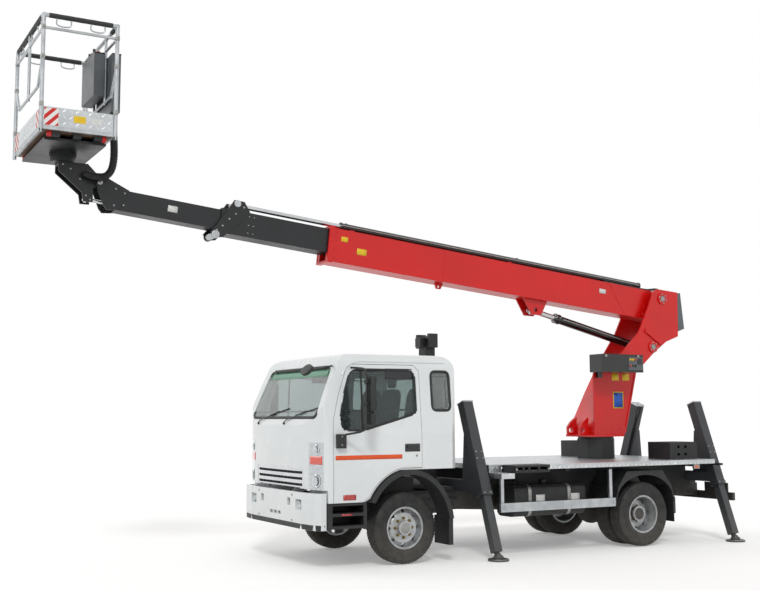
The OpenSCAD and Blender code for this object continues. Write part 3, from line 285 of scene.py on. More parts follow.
def treadPlate(name, light, dark, pitch):
    # tread plate: lens-shaped tears, one in each square cell, leaning left and right by turns.
    # In a cell, height = 1 - (a / long)^2 - (b / thin)^2, with a and b along and across the tear
    long, thin = 0.62, 0.16
    m, tree, shader = newMaterial(name, **{"Base Color": toLinear(light), "Metallic": 1.0,
            "Roughness": 0.36})
    where = add(tree, "TexCoord").outputs["Object"]
    face = add(tree, "TexCoord").outputs["Normal"]
    side = add(tree, "SeparateXYZ", {0: face})
    place = add(tree, "SeparateXYZ", {0: where})
    steep = [add(tree, "Math", {0: add(tree, "Math", {0: side.outputs[i]}, operation="ABSOLUTE"), 1: 0.6},
                 operation="GREATER_THAN") for i in (0, 2)]
    u = add(tree, "Mix", {0: steep[0], 2: place.outputs["X"], 3: place.outputs["Y"]}, data_type="FLOAT")
    v = add(tree, "Mix", {0: steep[1], 2: place.outputs["Z"], 3: place.outputs["Y"]}, data_type="FLOAT")
    cells = []
    for axis in (u, v):
        scaled = add(tree, "Math", {0: axis.outputs[0], 1: 1 / pitch}, operation="MULTIPLY")
        whole = add(tree, "Math", {0: scaled}, operation="FLOOR")
        part = add(tree, "Math", {0: add(tree, "Math", {0: scaled, 1: whole}, operation="SUBTRACT"),
                1: 0.5}, operation="SUBTRACT")
        cells.append((whole, part))
    odd = add(tree, "Math", {0: add(tree, "Math", {0: cells[0][0], 1: cells[1][0]}, operation="ADD"),
            1: 2.0}, operation="FLOORED_MODULO")
    lean = add(tree, "Math", {0: odd, 1: -2.0, 2: 1.0}, operation="MULTIPLY_ADD")
    cross = add(tree, "Math", {0: cells[1][1], 1: lean}, operation="MULTIPLY")
    a = add(tree, "Math", {0: cells[0][1], 1: cross}, operation="ADD")
    b = add(tree, "Math", {0: cells[0][1], 1: cross}, operation="SUBTRACT")
    aa = add(tree, "Math", {0: add(tree, "Math", {0: a, 1: long}, operation="DIVIDE"), 1: 2.0},
            operation="POWER")
    bb = add(tree, "Math", {0: add(tree, "Math", {0: b, 1: thin}, operation="DIVIDE"), 1: 2.0},
            operation="POWER")
    near = add(tree, "Math", {0: aa, 1: bb}, operation="ADD")
    tear = add(tree, "MapRange", {"Value": near, "From Min": 1.0, "From Max": 0.3, "To Min": 0.0,
            "To Max": 1.0})
    lift = add(tree, "Bump", {"Height": tear.outputs[0], "Strength": 0.9, "Distance": 0.003})
    tree.links.new(lift.outputs[0], shader.inputs["Normal"])
    worn = add(tree, "TexNoise", {"Vector": where, "Scale": 5.0, "Detail": 5.0})
    tone = ramp(tree, worn.outputs["Fac"], [(0.3, dark), (0.7, light)])
    # painted highlight: the raised tears are coloured lighter, towards #DADCDD, by their height
    tearHighlight = add(tree, "Mix", {0: tear.outputs[0]}, data_type="RGBA")
    tree.links.new(tone.outputs[0], tearHighlight.inputs[6])
    tearHighlight.inputs[7].default_value = toLinear("#DADCDD")
    tree.links.new(tearHighlight.outputs[2], shader.inputs["Base Color"])
    return m


# five-bar style aluminium tread plate, mill finish; the 65
# mm pitch is coarser than the real 30 mm so that it shows
looks["treadPlate"] = treadPlate("aluminium_tread_plate", "#C9CCCE", "#B4B8BA", 0.065)


def hatchMaterial(name, first, second, width):
    # slanted bars: the fraction of (y + z) / (2 width) under a half picks the colour
    m, tree, shader = newMaterial(name, **{"Base Color": toLinear(first), "Roughness": 0.4})
    place = add(tree, "SeparateXYZ", {0: add(tree, "TexCoord").outputs["Object"]})
    along = add(tree, "Math", {0: add(tree, "Math", {0: place.outputs["X"], 1: place.outputs["Y"]},
            operation="ADD"), 1: place.outputs["Z"]}, operation="ADD")
    bars = add(tree, "Math", {0: add(tree, "Math", {0: along, 1: 0.5 / width}, operation="MULTIPLY")},
            operation="FRACT")
    pick = add(tree, "Math", {0: bars, 1: 0.5}, operation="GREATER_THAN")
    mix = add(tree, "Mix", {0: pick}, data_type="RGBA")
    mix.inputs[6].default_value, mix.inputs[7].default_value = toLinear(first), toLinear(second)
    tree.links.new(mix.outputs[2], shader.inputs["Base Color"])
    return m


# red and white reflective sheeting with slanted bars
looks["hatchFilm"] = hatchMaterial("red_white_reflective_film", "#C8201A", "#E6E6E2", 0.05)

# which finish each CAD node takes
finishes = {
    "chassisEnamel": "frame subframe rear_bumper boom_rest pedestal deck_fittings",
    "castIron": "front_axle rear_axle engine left_knuckle right_knuckle",
    "whiteEnamel": "front_bumper cab_shell front_panel left_door right_door",
    "grainedPlastic": "tanks rear_fenders cab_trim dashboard left_mirror right_mirror basket_hose",
    "tyreRubber": "spare_wheel front_left_tyre front_right_tyre rear_left_tyres rear_right_tyres",
    "treadPlate": "deck",
    "tubeAluminium": "side_guards basket",
    "greyEnamel": "outrigger_housings front_left_leg front_right_leg rear_left_leg rear_right_leg",
    "glazing": "cab_glass",
    "sideGlazing": "left_door_glass right_door_glass",
    "trimChrome": "grille",
    "lampBowl": "headlights",
    "seatCloth": "seats",
    "wheelSilver": "front_left_rim front_right_rim rear_left_rims rear_right_rims",
    "redEnamel": "turret boom_base",
    "greyPlastic": "turret_cover basket_console",
    "glossBlack": "control_box luff_barrel extension_barrel",
    "hardChrome": "luff_rod extension_rod level_rod",
    "boomBlack": "boom_mid boom_tip basket_link basket_frame",
}
for look, names in finishes.items():
    for name in names.split():
        nodes[name].data.materials.clear()
        nodes[name].data.materials.append(looks[look])
print("finishes given to", sum(len(n.split()) for n in finishes.values()), "nodes")


# ---------- surfaces ----------
def surface(name, grids, material, body, wrapU=False, wrapV=False, smooth=True, capEnds=False):
    # a grid of points, shape (rows, columns, 3): each cell is one four-sided face.
    # wrapU joins the last row to the first, wrapV the last
    # column to the first; capEnds closes a tube's two ends
    allPoints, faces, start = [], [], 0
    for g in (grids if isinstance(grids, list) else [grids]):
        g = np.asarray(g, float)
        rows, cols = g.shape[:2]
        i = np.arange(rows if wrapU else rows - 1)
        j = np.arange(cols if wrapV else cols - 1)
        a, b = np.meshgrid(i, j, indexing="ij")
        a2, b2 = (a + 1) % rows, (b + 1) % cols
        quads = np.stack([a * cols + b, a2 * cols + b, a2 * cols + b2, a * cols + b2], -1).reshape(-1,
                4) + start
        faces += quads.tolist()
        if capEnds:
            faces += [list(range(start, start + cols)), list(range(start + rows * cols - 1,
                    start + (rows - 1) * cols - 1, -1))]
        allPoints.append(g.reshape(-1, 3))
        start += rows * cols
    return meshPiece(name, np.concatenate(allPoints), faces, material, body, smooth)


def meshPiece(name, points, faces, material, body, smooth=True):
    mesh = bpy.data.meshes.new(name)
    mesh.from_pydata(np.asarray(points).tolist(), [], faces)
    mesh.validate()
    if smooth:
        mesh.polygons.foreach_set("use_smooth", [True] * len(mesh.polygons))
        mesh.set_sharp_from_angle(angle=math.radians(35))
    mesh.materials.append(looks[material])
    o = bpy.data.objects.new(name, mesh)
    scene.collection.objects.link(o)
    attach(o, body)
    return o


def framesAlong(path, up=(0, 0, 1), closed=False):
    # at each point of the path: the tangent from its
    # neighbours, a side square to up, and their cross product
    p = np.asarray(path, float)
    t = (np.roll(p, -1, 0) - np.roll(p, 1, 0)) if closed else np.gradient(p, axis=0)
    t /= np.linalg.norm(t, axis=1)[:, None]
    ups = np.broadcast_to(np.asarray(up, float), p.shape)
    side = np.cross(t, ups)
    side /= np.maximum(np.linalg.norm(side, axis=1), 1e-9)[:, None]
    return p, side, np.cross(side, t)


def sweepProfile(path, profile, up=(0, 0, 1), closed=False):
    # every profile point (a, b) is carried along the path: point + a * side + b * over
    p, side, over = framesAlong(path, up, closed)
    q = np.asarray(profile, float)
    return p[:, None] + q[None, :, :1] * side[:, None] + q[None, :, 1:] * over[:, None]


def ring(radius, sides=12):
    a = np.arange(sides) * 2 * math.pi / sides
    return np.stack([radius * np.cos(a), radius * np.sin(a)], 1)


def rounded(w, h, r, steps=3):
    # outline of a box w by h with corner arcs of radius r, counter-clockwise
    a = np.linspace(0, math.pi / 2, steps + 1)
    arcs = [np.stack([cx + r * np.cos(a + k * math.pi / 2), cy + r * np.sin(a + k * math.pi / 2)], 1) for k,
            (cx, cy) in enumerate(((w / 2 - r, h / 2 - r), (-w / 2 + r, h / 2 - r),
            (-w / 2 + r, -h / 2 + r), (w / 2 - r, -h / 2 + r)))]
    return np.concatenate(arcs)


def smoothPath(points, per=6):
    # Catmull-Rom curve through the points, per steps between two of them
    p = np.asarray(points, float)
    p = np.concatenate([2 * p[:1] - p[1:2], p, 2 * p[-1:] - p[-2:-1]])
    t = np.arange(per)[:, None] / per
    parts = [0.5 * (2 * b + (c - a) * t + (2 * a - 5 * b + 4 * c - d) * t ** 2
                    + (3 * b - a - 3 * c + d) * t ** 3)
             for a, b, c, d in zip(p[:-3], p[1:-2], p[2:-1], p[3:])]
    return np.concatenate(parts + [p[-2:-1]])


def tubes(name, paths, radius, material, body, sides=12, up=(0.01, 0.02, 1)):
    # round tubes along several paths as one piece
    shapes = [sweepProfile(p, ring(radius, sides), up) for p in paths]
    return surface(name, shapes, material, body, wrapV=True, capEnds=True)


def blocks(name, boxes, material, body, soft=0.003, turn=None):
    # boxes with bevelled edges: (lowest corner, highest
    # corner) each, turned by a function of the points if given
    corner = np.array([[0, 0, 0], [1, 0, 0], [1, 1, 0], [0, 1, 0], [0, 0, 1], [1, 0, 1], [1, 1, 1],
            [0, 1, 1]])
    quads = np.array([[0, 3, 2, 1], [4, 5, 6, 7], [0, 1, 5, 4], [1, 2, 6, 5], [2, 3, 7, 6], [3, 0, 4, 7]])
    lo = np.array([b[0] for b in boxes], float)[:, None]
    hi = np.array([b[1] for b in boxes], float)[:, None]
    points = (lo + (hi - lo) * corner).reshape(-1, 3)
    faces = (quads[None] + 8 * np.arange(len(boxes))[:, None, None]).reshape(-1, 4).tolist()
    o = meshPiece(name, turn(points) if turn else points, faces, material, body, smooth=False)
    return soften(o, soft)


def soften(o, width):
    bevel = o.modifiers.new("edges", "BEVEL")
    bevel.width, bevel.segments = width, 2
    bevel.limit_method, bevel.angle_limit = "ANGLE", math.radians(40)
    bevel.use_clamp_overlap = True
    return o


def slab(name, low, high, material, body, soft):
    # a flat plate between two matching outlines, its edges softened
    o = surface(name, np.stack([low, high]), material, body, wrapV=True, capEnds=True, smooth=False)
    fixNormals(o)
    return soften(o, soft)


def fixNormals(o):
    # doubled points are joined and the faces all turned outwards
    b = bmesh.new()
    b.from_mesh(o.data)
    bmesh.ops.remove_doubles(b, verts=b.verts, dist=1e-6)
    bmesh.ops.recalc_face_normals(b, faces=b.faces)
    b.to_mesh(o.data)
    b.free()


def boltHeads(name, places, normal, size, height, material, body, washer=True):
    # hexagon heads on washers: each is a stack of rings round
    # its axis, the radius stepping in from washer to crown
    n = np.array(normal, float) / np.linalg.norm(normal)
    u = np.cross(n, (0, 0, 1) if abs(n[2]) < 0.9 else (1, 0, 0))
    u /= np.linalg.norm(u)
    v = np.cross(n, u)
    a = np.arange(6) * math.pi / 3
    hexagon = np.cos(a)[:, None] * u + np.sin(a)[:, None] * v
    steps = [(1.25, 0.0), (1.25, 0.18), (1.0, 0.2), (1.0, 0.85), (0.82, 1.0),
            (0.0, 1.0)] if washer else [(1, 0), (1, 0.85), (0.8, 1), (0, 1)]
    shapes = [np.stack([np.asarray(p) + size * r * hexagon + n * height * h for r, h in steps])
            for p in np.atleast_2d(places)]
    o = surface(name, shapes, material, body, wrapV=True, smooth=False)
    fixNormals(o)
    return o


meshTrees = {}


def touch(names, origin, direction):
    # where a ray first meets one of the CAD nodes, and the surface's outward direction there
    best = None
    for name in names:
        if name not in meshTrees:
            d = nodes[name].data
            meshTrees[name] = BVHTree.FromPolygons([v.co for v in d.vertices],
                    [p.vertices[:] for p in d.polygons])
        spot, normal, _, far = meshTrees[name].ray_cast(Vector(origin), Vector(direction))
        if spot is not None and (best is None or far < best[2]):
            best = (np.array(spot), np.array(normal), far)
    return best


def drape(names, points, direction, lift=0.0):
    # points dropped along the direction onto the CAD nodes, then raised along the surface's own normal
    spots, normals = [], []
    d = np.array(direction, float)
    for p in points:
        found = touch(names, p, direction)
        if found:
            n = found[1] * (1 if found[1] @ d < 0 else -1)
            spots.append(found[0] + n * lift)
            normals.append(n)
    return np.array(spots), np.array(normals)


def upright(x0, x1, z0, z1, y):
    # corners of a rectangle in a plane of constant y
    return [(x0, y, z0), (x1, y, z0), (x1, y, z1), (x0, y, z1)]


def sticker(name, names, corners, direction, material, body, cells=(8, 4), thick=0.0008):
    # a film on a curved surface: a grid between four corners,
    # draped on the nodes, given its thickness outwards
    c = [np.array(p, float) for p in corners]
    s, t = np.meshgrid(np.linspace(0, 1, cells[0] + 1), np.linspace(0, 1, cells[1] + 1), indexing="ij")
    s, t = s[..., None], t[..., None]
    flat = (c[0] * (1 - s) + c[1] * s) * (1 - t) + (c[3] * (1 - s) + c[2] * s) * t
    spots, _ = drape(names, flat.reshape(-1, 3), direction, thick)
    if len(spots) != flat.shape[0] * flat.shape[1]:
        print("sticker misses:", name, len(spots))
        return None
    o = surface(name, spots.reshape(flat.shape), material, body)
    fixOutward(o, -np.array(direction, float))
    wall = o.modifiers.new("film", "SOLIDIFY")
    wall.thickness, wall.offset = thick * 0.9, -1
    return o


def fixOutward(o, towards):
    mesh = o.data
    n = np.zeros(len(mesh.polygons) * 3)
    mesh.polygons.foreach_get("normal", n)
    if n.reshape(-1, 3).sum(0) @ towards < 0:
        mesh.flip_normals()


def ringsOnAxis(name, profile, at, axis, material, body, around=40, beside=None):
    # (height, radius) profile turned about an axis through a point; beside is a direction off the axis
    n = np.asarray(axis, float) / np.linalg.norm(axis)
    u = np.cross(n, beside or ((1, 0, 0) if abs(n[0]) < 0.9 else (0, 1, 0)))
    u /= np.linalg.norm(u)
    v = np.cross(n, u)
    a = np.arange(around) * 2 * math.pi / around
    q = np.asarray(profile, float)
    way = np.cos(a)[:, None, None] * u + np.sin(a)[:, None, None] * v
    grid = np.asarray(at) + q[None, :, :1] * n + q[None, :, 1:] * way
    o = surface(name, grid, material, body, wrapU=True)
    fixNormals(o)
    return o


def ringsUp(name, profile, at, material, body, around=40):
    return ringsOnAxis(name, profile, at, (0, 0, 1), material, body, around)


def ringsOn(name, profile, at, normal, material, body):
    # the same about a surface's normal, which lies near the horizontal
    return ringsOnAxis(name, profile, at, normal, material, body, 40, (0, 0, 1))


# ---------- wheels ----------
tyreSet = {"radius": 0.392, "width": 0.22, "rim": 0.232, "around": 360, "lugs": 72, "groove": 0.009,
        "sipe": 0.006}
wheelSet = {"frontHalf": 0.832, "rearHalf": 0.780, "twin": 0.132, "nuts": 8, "nutCircle": 0.105,
        "nutSize": 0.015}


def tyreGrid(t, centre, flip=1):
    # profile points (y, r) from bead to bead turned about the wheel's axis: x = r cos a, z = r sin a.
    # In the tread the radius drops in four wavy grooves, and in lateral cuts near the shoulders
    w, r, rim = t["width"] / 2, t["radius"], t["rim"]
    side = [(0.074, rim + 0.0005), (0.092, rim + 0.0005), (0.098, rim + 0.012), (w - 0.004, rim + 0.035),
            (w - 0.001, rim + 0.05), (w - 0.0035, rim + 0.053), (w, rim + 0.060), (w, rim + 0.078),
            (w - 0.003, rim + 0.081), (w - 0.001, rim + 0.086), (w - 0.004, r - 0.045),
            (w - 0.006, r - 0.043), (w - 0.012, r - 0.02), (w - 0.018, r - 0.010), (w - 0.026, r - 0.003)]
    tread = [(y, r - 1.2 * y * y) for y in np.linspace(w - 0.034, -w + 0.034, 33)]
    profile = np.array([(y, q) for y, q in side] + tread + [(-y, q) for y, q in side[::-1]] + [(-0.070,
            rim - 0.0115), (0.070, rim - 0.0115)])
    a = np.arange(t["around"]) * 2 * math.pi / t["around"]
    y, q = profile[None, :, 0], profile[None, :, 1]
    wave = 0.004 * np.abs((a[:, None] * t["lugs"] / (2 * math.pi)) % 2 - 1)
    top = (q > r - 0.02) & (np.abs(y) < w - 0.01)
    rings = sum(np.abs(y + wave - c) < 0.0046 for c in (-0.052, -0.018, 0.018, 0.052)) > 0
    cut = ((a[:, None] * t["lugs"] / (2 * math.pi)) % 1 < 0.3) & (np.abs(y) > 0.056)
    drop = t["groove"] * (top & rings) + t["sipe"] * (top & cut & ~rings)
    radius = q - drop
    y = np.broadcast_to(y, radius.shape)
    return np.stack([centre[0] + radius * np.cos(a)[:, None], centre[1] + flip * y,
            centre[2] + radius * np.sin(a)[:, None]], -1)


def makeTyres(t, w):
    x, z = (station["front"], station["rear"]), station["axleHeight"]
    for side, s in sides:
        sets = (("front_" + side, x[0], [w["frontHalf"]], "_tyre", "_wheel"),
                ("rear_" + side, x[1], [w["rearHalf"] - w["twin"], w["rearHalf"] + w["twin"]], "_tyres",
                "_wheels"))
        for name, at, halves, node, body in sets:
            o = surface(name + "_treaded_tyre", [tyreGrid(t, (at, s * h, z), s) for h in halves],
                        "tyreRubber", name + body, wrapU=True, wrapV=True)
            fixNormals(o)
            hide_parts(name + node)


makeTyres(tyreSet, wheelSet)


def circlePlaces(centre, radius, count, turn=0.0):
    # points on a circle in the X-Z plane
    a = turn + np.arange(count) * 2 * math.pi / count
    return np.stack([centre[0] + radius * np.cos(a), np.full(count, centre[1]),
            centre[2] + radius * np.sin(a)], 1)


def turned(name, profile, centre, side, material, body, around=48):
    # (y, r) profile turned about the wheel's axis, y outwards on that side
    q = np.asarray(profile, float)
    a = np.arange(around) * 2 * math.pi / around
    grid = np.stack([centre[0] + q[None, :, 1] * np.cos(a)[:, None],
                     np.broadcast_to(centre[1] + side * q[None, :, 0], (around, len(q))),
                     centre[2] + q[None, :, 1] * np.sin(a)[:, None]], -1)
    o = surface(name, grid, material, body, wrapU=True)
    fixNormals(o)
    return o


def makeWheelDetails(w):
    z = station["axleHeight"]
    for side, s in sides:
        # front: nuts on the hub flange, hub cap, rounded flange bead, valve
        c = (station["front"], s * w["frontHalf"], z)
        body = f"front_{side}_wheel"
        boltHeads(f"front_{side}_nuts", circlePlaces((c[0], c[1] + s * 0.0532, z), w["nutCircle"],
                w["nuts"]), (0, s, 0), w["nutSize"], 0.022, "nutBrass", body)
        turned(f"front_{side}_hub_cap", [(0.0955, 0.0), (0.1, 0.0), (0.1, 0.045), (0.0985, 0.058),
                (0.094, 0.066), (0.085, 0.068), (0.0605, 0.069)], c, s, "zincSteel", body)
        boltHeads(f"front_{side}_hub_screws", circlePlaces((c[0], c[1] + s * 0.1, z), 0.045, 6), (0, s, 0),
                0.005, 0.005, "zincSteel", body, False)
        bead = ring(0.0055, 8)
        for tag, at in (("outer", 0.0878),):
            turned(f"front_{side}_flange_{tag}", [(at + p[1], 0.2255 + p[0])
                    for p in np.vstack([bead, bead[:1]])], c, s, "wheelSilver", body, 96)
        tubes(f"front_{side}_valve", [smoothPath([(c[0] + 0.17, c[1] + s * 0.045, z + 0.06),
                (c[0] + 0.172, c[1] + s * 0.075, z + 0.06), (c[0] + 0.176, c[1] + s * 0.09, z + 0.062)],
                4)], 0.004, "nutBrass", body, 8)
        # rear: nuts in the deep dish, dark hub with studs
        c = (station["rear"], s * w["rearHalf"], z)
        body = f"rear_{side}_wheels"
        boltHeads(f"rear_{side}_nuts", circlePlaces((c[0], c[1] + s * 0.0952, z), 0.1015, w["nuts"]),
                (0, s, 0), 0.0085, 0.014, "nutBrass", body, False)
        turned(f"rear_{side}_hub_cap", [(0.1505, 0.0), (0.153, 0.0), (0.153, 0.06), (0.149, 0.075),
                (0.1505, 0.078), (0.147, 0.084), (0.12, 0.0935), (0.098, 0.0935)], c, s, "castIron", body)
        boltHeads(f"rear_{side}_studs", circlePlaces((c[0], c[1] + s * 0.153, z), 0.062, 8), (0, s, 0),
                0.0065, 0.007, "castIron", body, False)
        turned(f"rear_{side}_flange", [(w["twin"] + 0.0878 + p[1], 0.2255 + p[0])
                for p in np.vstack([bead, bead[:1]])], c, s, "wheelSilver", body, 96)


makeWheelDetails(wheelSet)
print("wheels done")


# ---------- cab ----------
cabFront = ["cab_shell", "front_panel", "cab_glass", "headlights", "grille"]
cabSet = {"screen": [(-0.885, 1.600), (0.885, 1.600), (0.820, 2.150), (-0.820, 2.150)], "screenRound": 0.07,
        "quarter": [(-0.560, 1.673), (-0.320, 1.673), (-0.320, 2.110), (-0.560, 2.110)],
        "door": [(-0.110, 1.640), (0.560, 1.460), (0.800, 1.462), (0.838, 1.580), (0.790, 1.830),
        (0.705, 2.080), (0.650, 2.120), (-0.070, 2.120), (-0.110, 2.080)], }


def roundCorners(points, r):
    # each corner of the closed outline becomes a quadratic bend that starts r before it and ends r after it
    p = np.asarray(points, float)
    a, c = np.roll(p, 1, 0), np.roll(p, -1, 0)
    start = p + (a - p) / np.linalg.norm(a - p, axis=1)[:, None] * r
    end = p + (c - p) / np.linalg.norm(c - p, axis=1)[:, None] * r
    t = np.linspace(0, 1, 7)[None, :, None]
    return ((1 - t) ** 2 * start[:, None] + 2 * t * (1 - t) * p[:, None] + t ** 2 * end[:,
            None]).reshape(-1, p.shape[1])


def spread(points, step, closed=True):
    # the outline sampled again at an even step along its length
    p = np.asarray(points, float)
    q = np.vstack([p, p[:1]]) if closed else p
    run = np.concatenate([[0], np.cumsum(np.linalg.norm(np.diff(q, axis=0), axis=1))])
    n = max(int(run[-1] / step), 4)
    at = np.linspace(0, run[-1], n + (0 if closed else 1), endpoint=not closed)
    return np.stack([np.interp(at, run, q[:, k]) for k in range(q.shape[1])], 1)


def sealAlong(name, nodesBelow, outline3, direction, size, material, body, lift=0.0, closed=True):
    # a half-round strip carried along a line draped on the nodes:
    # profile (a, b) goes to side and to the surface's normal
    spots, normals = drape(nodesBelow, outline3, direction, lift)
    if len(spots) < 4:
        print("seal misses:", name)
        return None
    n = normals
    for _ in range(3):
        n = (np.roll(n, 1, 0) + n + np.roll(n, -1, 0)) if closed else n
        n = n / np.linalg.norm(n, axis=1)[:, None]
    half, high = size[0] / 2, size[1]
    a = np.linspace(math.pi, 0, 7)
    profile = np.vstack([np.stack([half * np.cos(a), high * np.sin(a)], 1),
            [[half * 0.9, -0.002], [-half * 0.9, -0.002]]])
    grid = sweepProfile(spots, profile, n, closed)
    o = surface(name, grid, material, body, wrapU=closed, wrapV=True, capEnds=not closed)
    fixNormals(o)
    return o


def frontLine(pairs):
    # (y, z) pairs set 3 m ahead, to be dropped backwards on the cab's front
    p = np.asarray(pairs, float)
    return np.stack([np.full(len(p), 3.0), p[:, 0], p[:, 1]], 1)


def sideLine(pairs, side):
    # (x from the front axle, z) pairs set 2 m out, to be dropped inwards on the cab's side
    p = np.asarray(pairs, float)
    return np.stack([p[:, 0] + station["front"], np.full(len(p), side * 2.0), p[:, 1]], 1)


def makeCabSeals(c):
    line = spread(roundCorners(c["screen"], c["screenRound"] + 0.02), 0.03)
    sealAlong("windscreen_gasket", cabFront, frontLine(line), (-1, 0, 0), (0.036, 0.010), "softRubber",
            "cab", -0.002)
    for side, s in sides:
        line = spread(roundCorners(c["quarter"], 0.06), 0.025)
        sealAlong(f"{side}_quarter_gasket", ["cab_shell", "cab_glass"], sideLine(line, s), (0, -s, 0),
                (0.032, 0.009), "softRubber", "cab", -0.002)
        line = spread(roundCorners(c["door"], 0.03), 0.025)
        sealAlong(f"{side}_window_channel", [f"{side}_door", f"{side}_door_glass"], sideLine(line, s),
                (0, -s, 0), (0.026, 0.007), "softRubber", f"{side}_door", -0.003)
        # upright bar that parts the vent pane from the sliding pane
        bar = spread([(0.555, 1.475), (0.555, 2.11)], 0.05, False)
        sealAlong(f"{side}_window_bar", [f"{side}_door_glass"], sideLine(bar, s), (0, -s, 0),
                (0.022, 0.012), "softRubber", f"{side}_door", 0.0, False)
        # rain gutter above the door
        gutter = spread([(-0.52, 2.205), (0.60, 2.205), (0.72, 2.165), (0.80, 2.05)], 0.04, False)
        sealAlong(f"{side}_gutter", ["cab_shell"], sideLine(gutter, s), (0, -s, 0), (0.016, 0.011),
                "whiteEnamel", "cab", 0.0, False)


makeCabSeals(cabSet)


def makeScreenBand():
    # green film across the top of the windscreen
    sticker("sun_band", ["cab_glass"], [(3, 0.80, 2.045), (3, -0.80, 2.045), (3, -0.79, 2.125),
            (3, 0.79, 2.125)], (-1, 0, 0), "sunFilm", "cab", (24, 3))


looks["sunFilm"] = surfaceMaterial("green_sun_film", "#7FC0A0", "#78B998", 0.2, (0.1, 0.15),
        **{"Transmission Weight": 0.5})
makeScreenBand()

wiperSet = {"pivots": (-0.62, 0.12), "arm": 0.48, "blade": 0.52}


def makeWipers(w):
    for k, y in enumerate(w["pivots"]):
        arm = np.array([(3, y, 1.535), (3, y + 0.05, 1.57), (3, y + w["arm"] * 0.6, 1.625),
                (3, y + w["arm"], 1.668)])
        spots, normals = drape(cabFront, spread(arm, 0.03, False), (-1, 0, 0), 0.016)
        tubes(f"wiper_arm_{k}", [spots], 0.006, "glossBlack", "cab", 8)
        half = w["blade"] / 2
        blade = np.array([(3, y + w["arm"] + half * 0.98, 1.70), (3, y + w["arm"] - half * 0.98, 1.625)])
        spots, normals = drape(cabFront, spread(blade, 0.03, False), (-1, 0, 0), 0.004)
        surface(f"wiper_blade_{k}", sweepProfile(spots, rounded(0.010, 0.016, 0.003), normals),
                "softRubber", "cab", wrapV=True, capEnds=True)
        spot, normal = drape(cabFront, [(3, y, 1.533)], (-1, 0, 0))
        boltHeads(f"wiper_nut_{k}", spot, normal[0], 0.013, 0.016, "glossBlack", "cab")


makeWipers(wiperSet)


def makeLamps():
    # a bezel and a clear lens over each bowl, and an indicator strip between them, laid on the lamp block
    for side, s in sides:
        for tag, zed, r in (("low", 0.930, 0.062), ("high", 1.262, 0.045)):
            found = touch(["headlights"], (3, s * 0.872, zed), (-1, 0, 0))
            if not found:
                continue
            at, n = found[0], found[1]
            t = np.linspace(0, 1, 9)
            profile = np.vstack([np.stack([0.0035 + 0.005 * np.sin(t * math.pi), r + 0.010 - 0.016 * t], 1),
                                 np.stack([0.0035 - 0.002 * t, (r - 0.006) * (1 - t)], 1)])
            ringsOn(f"{side}_{tag}_bezel", profile, at, n, "trimChrome", "cab")
            dome = np.stack([0.004 + 0.010 * np.sqrt(1 - t ** 2), (r - 0.008) * t], 1)
            ringsOn(f"{side}_{tag}_lens", dome, at, n, "clearLens", "cab")
        sticker(f"{side}_indicator", ["headlights"], [(3, s * 0.760, 1.103), (3, s * 0.965, 1.103),
                (3, s * 0.965, 1.192), (3, s * 0.760, 1.192)], (-1, 0, 0), "indicatorLens", "cab",
                (12, 4), 0.003)


looks["clearLens"] = glassMaterial("clear_polycarbonate_lens", "#F4F8F8", 0.02, 0.9)


makeLamps()


def makeDoorDetails():
    for side, s in sides:
        body, door = f"{side}_door", [f"{side}_door"]
        y = s * 2.0
        f = station["front"]
        # recessed handle plate and its pull, keyhole
        sticker(f"{side}_handle_plate", door, upright(f - 0.14, f + 0.05, 1.225, 1.310, y), (0, -s, 0),
                "glossBlack", body, (6, 4), 0.004)
        spots, _ = drape(door, [(f - 0.12, y, 1.280), (f + 0.03, y, 1.280)], (0, -s, 0), 0.013)
        if len(spots) == 2:
            surface(f"{side}_handle", sweepProfile(spread(spots, 0.02, False), rounded(0.030, 0.012, 0.005),
                    (0, s, 0)), "glossBlack", body, wrapV=True, capEnds=True)
        spot, normal = drape(door, [(f - 0.10, y, 1.18)], (0, -s, 0))
        ringsOn(f"{side}_key", [(0.0, 0.013), (0.004, 0.013), (0.005, 0.011), (0.004, 0.004), (0.002, 0.0)],
                spot[0], normal[0], "zincSteel", body)
        # orange stripe from the front edge to just short of the handle
        sticker(f"{side}_stripe", door, upright(f + 0.90, f + 0.085, 1.150, 1.197, y), (0, -s, 0),
                "orangeVinyl", body, (30, 2), 0.0006)
        # side marker low on the door, reflector on the solid bar between the steps
        sticker(f"{side}_marker", door, upright(f + 0.659, f + 0.809, 0.727, 0.783, y), (0, -s, 0),
                "redLens", body, (4, 3), 0.004)
        sticker(f"{side}_reflector", ["cab_trim"], upright(f + 0.695, f + 0.825, 0.566, 0.584, y),
                (0, -s, 0), "redLens", "cab", (3, 2), 0.003)
        # wind deflector over the window
        sticker(f"{side}_deflector", [f"{side}_door_glass", f"{side}_door"],
                [(f - 0.10, y, 2.02), (f + 0.25, y, 2.02), (f + 0.25, y, 2.13), (f - 0.08, y, 2.13)],
                (0, -s, 0), "smokedAcrylic", body, (20, 4), 0.006)


looks["smokedAcrylic"] = surfaceMaterial("smoked_acrylic_sheet", "#23272A", "#1E2225", 0.3, (0.08, 0.14))
makeDoorDetails()
print("cab seals, wipers, lamps and door pieces done")


# ---------- mirrors ----------
mirrorSet = {"head": (0.058, 0.152, 0.390), "tube": 0.0115}


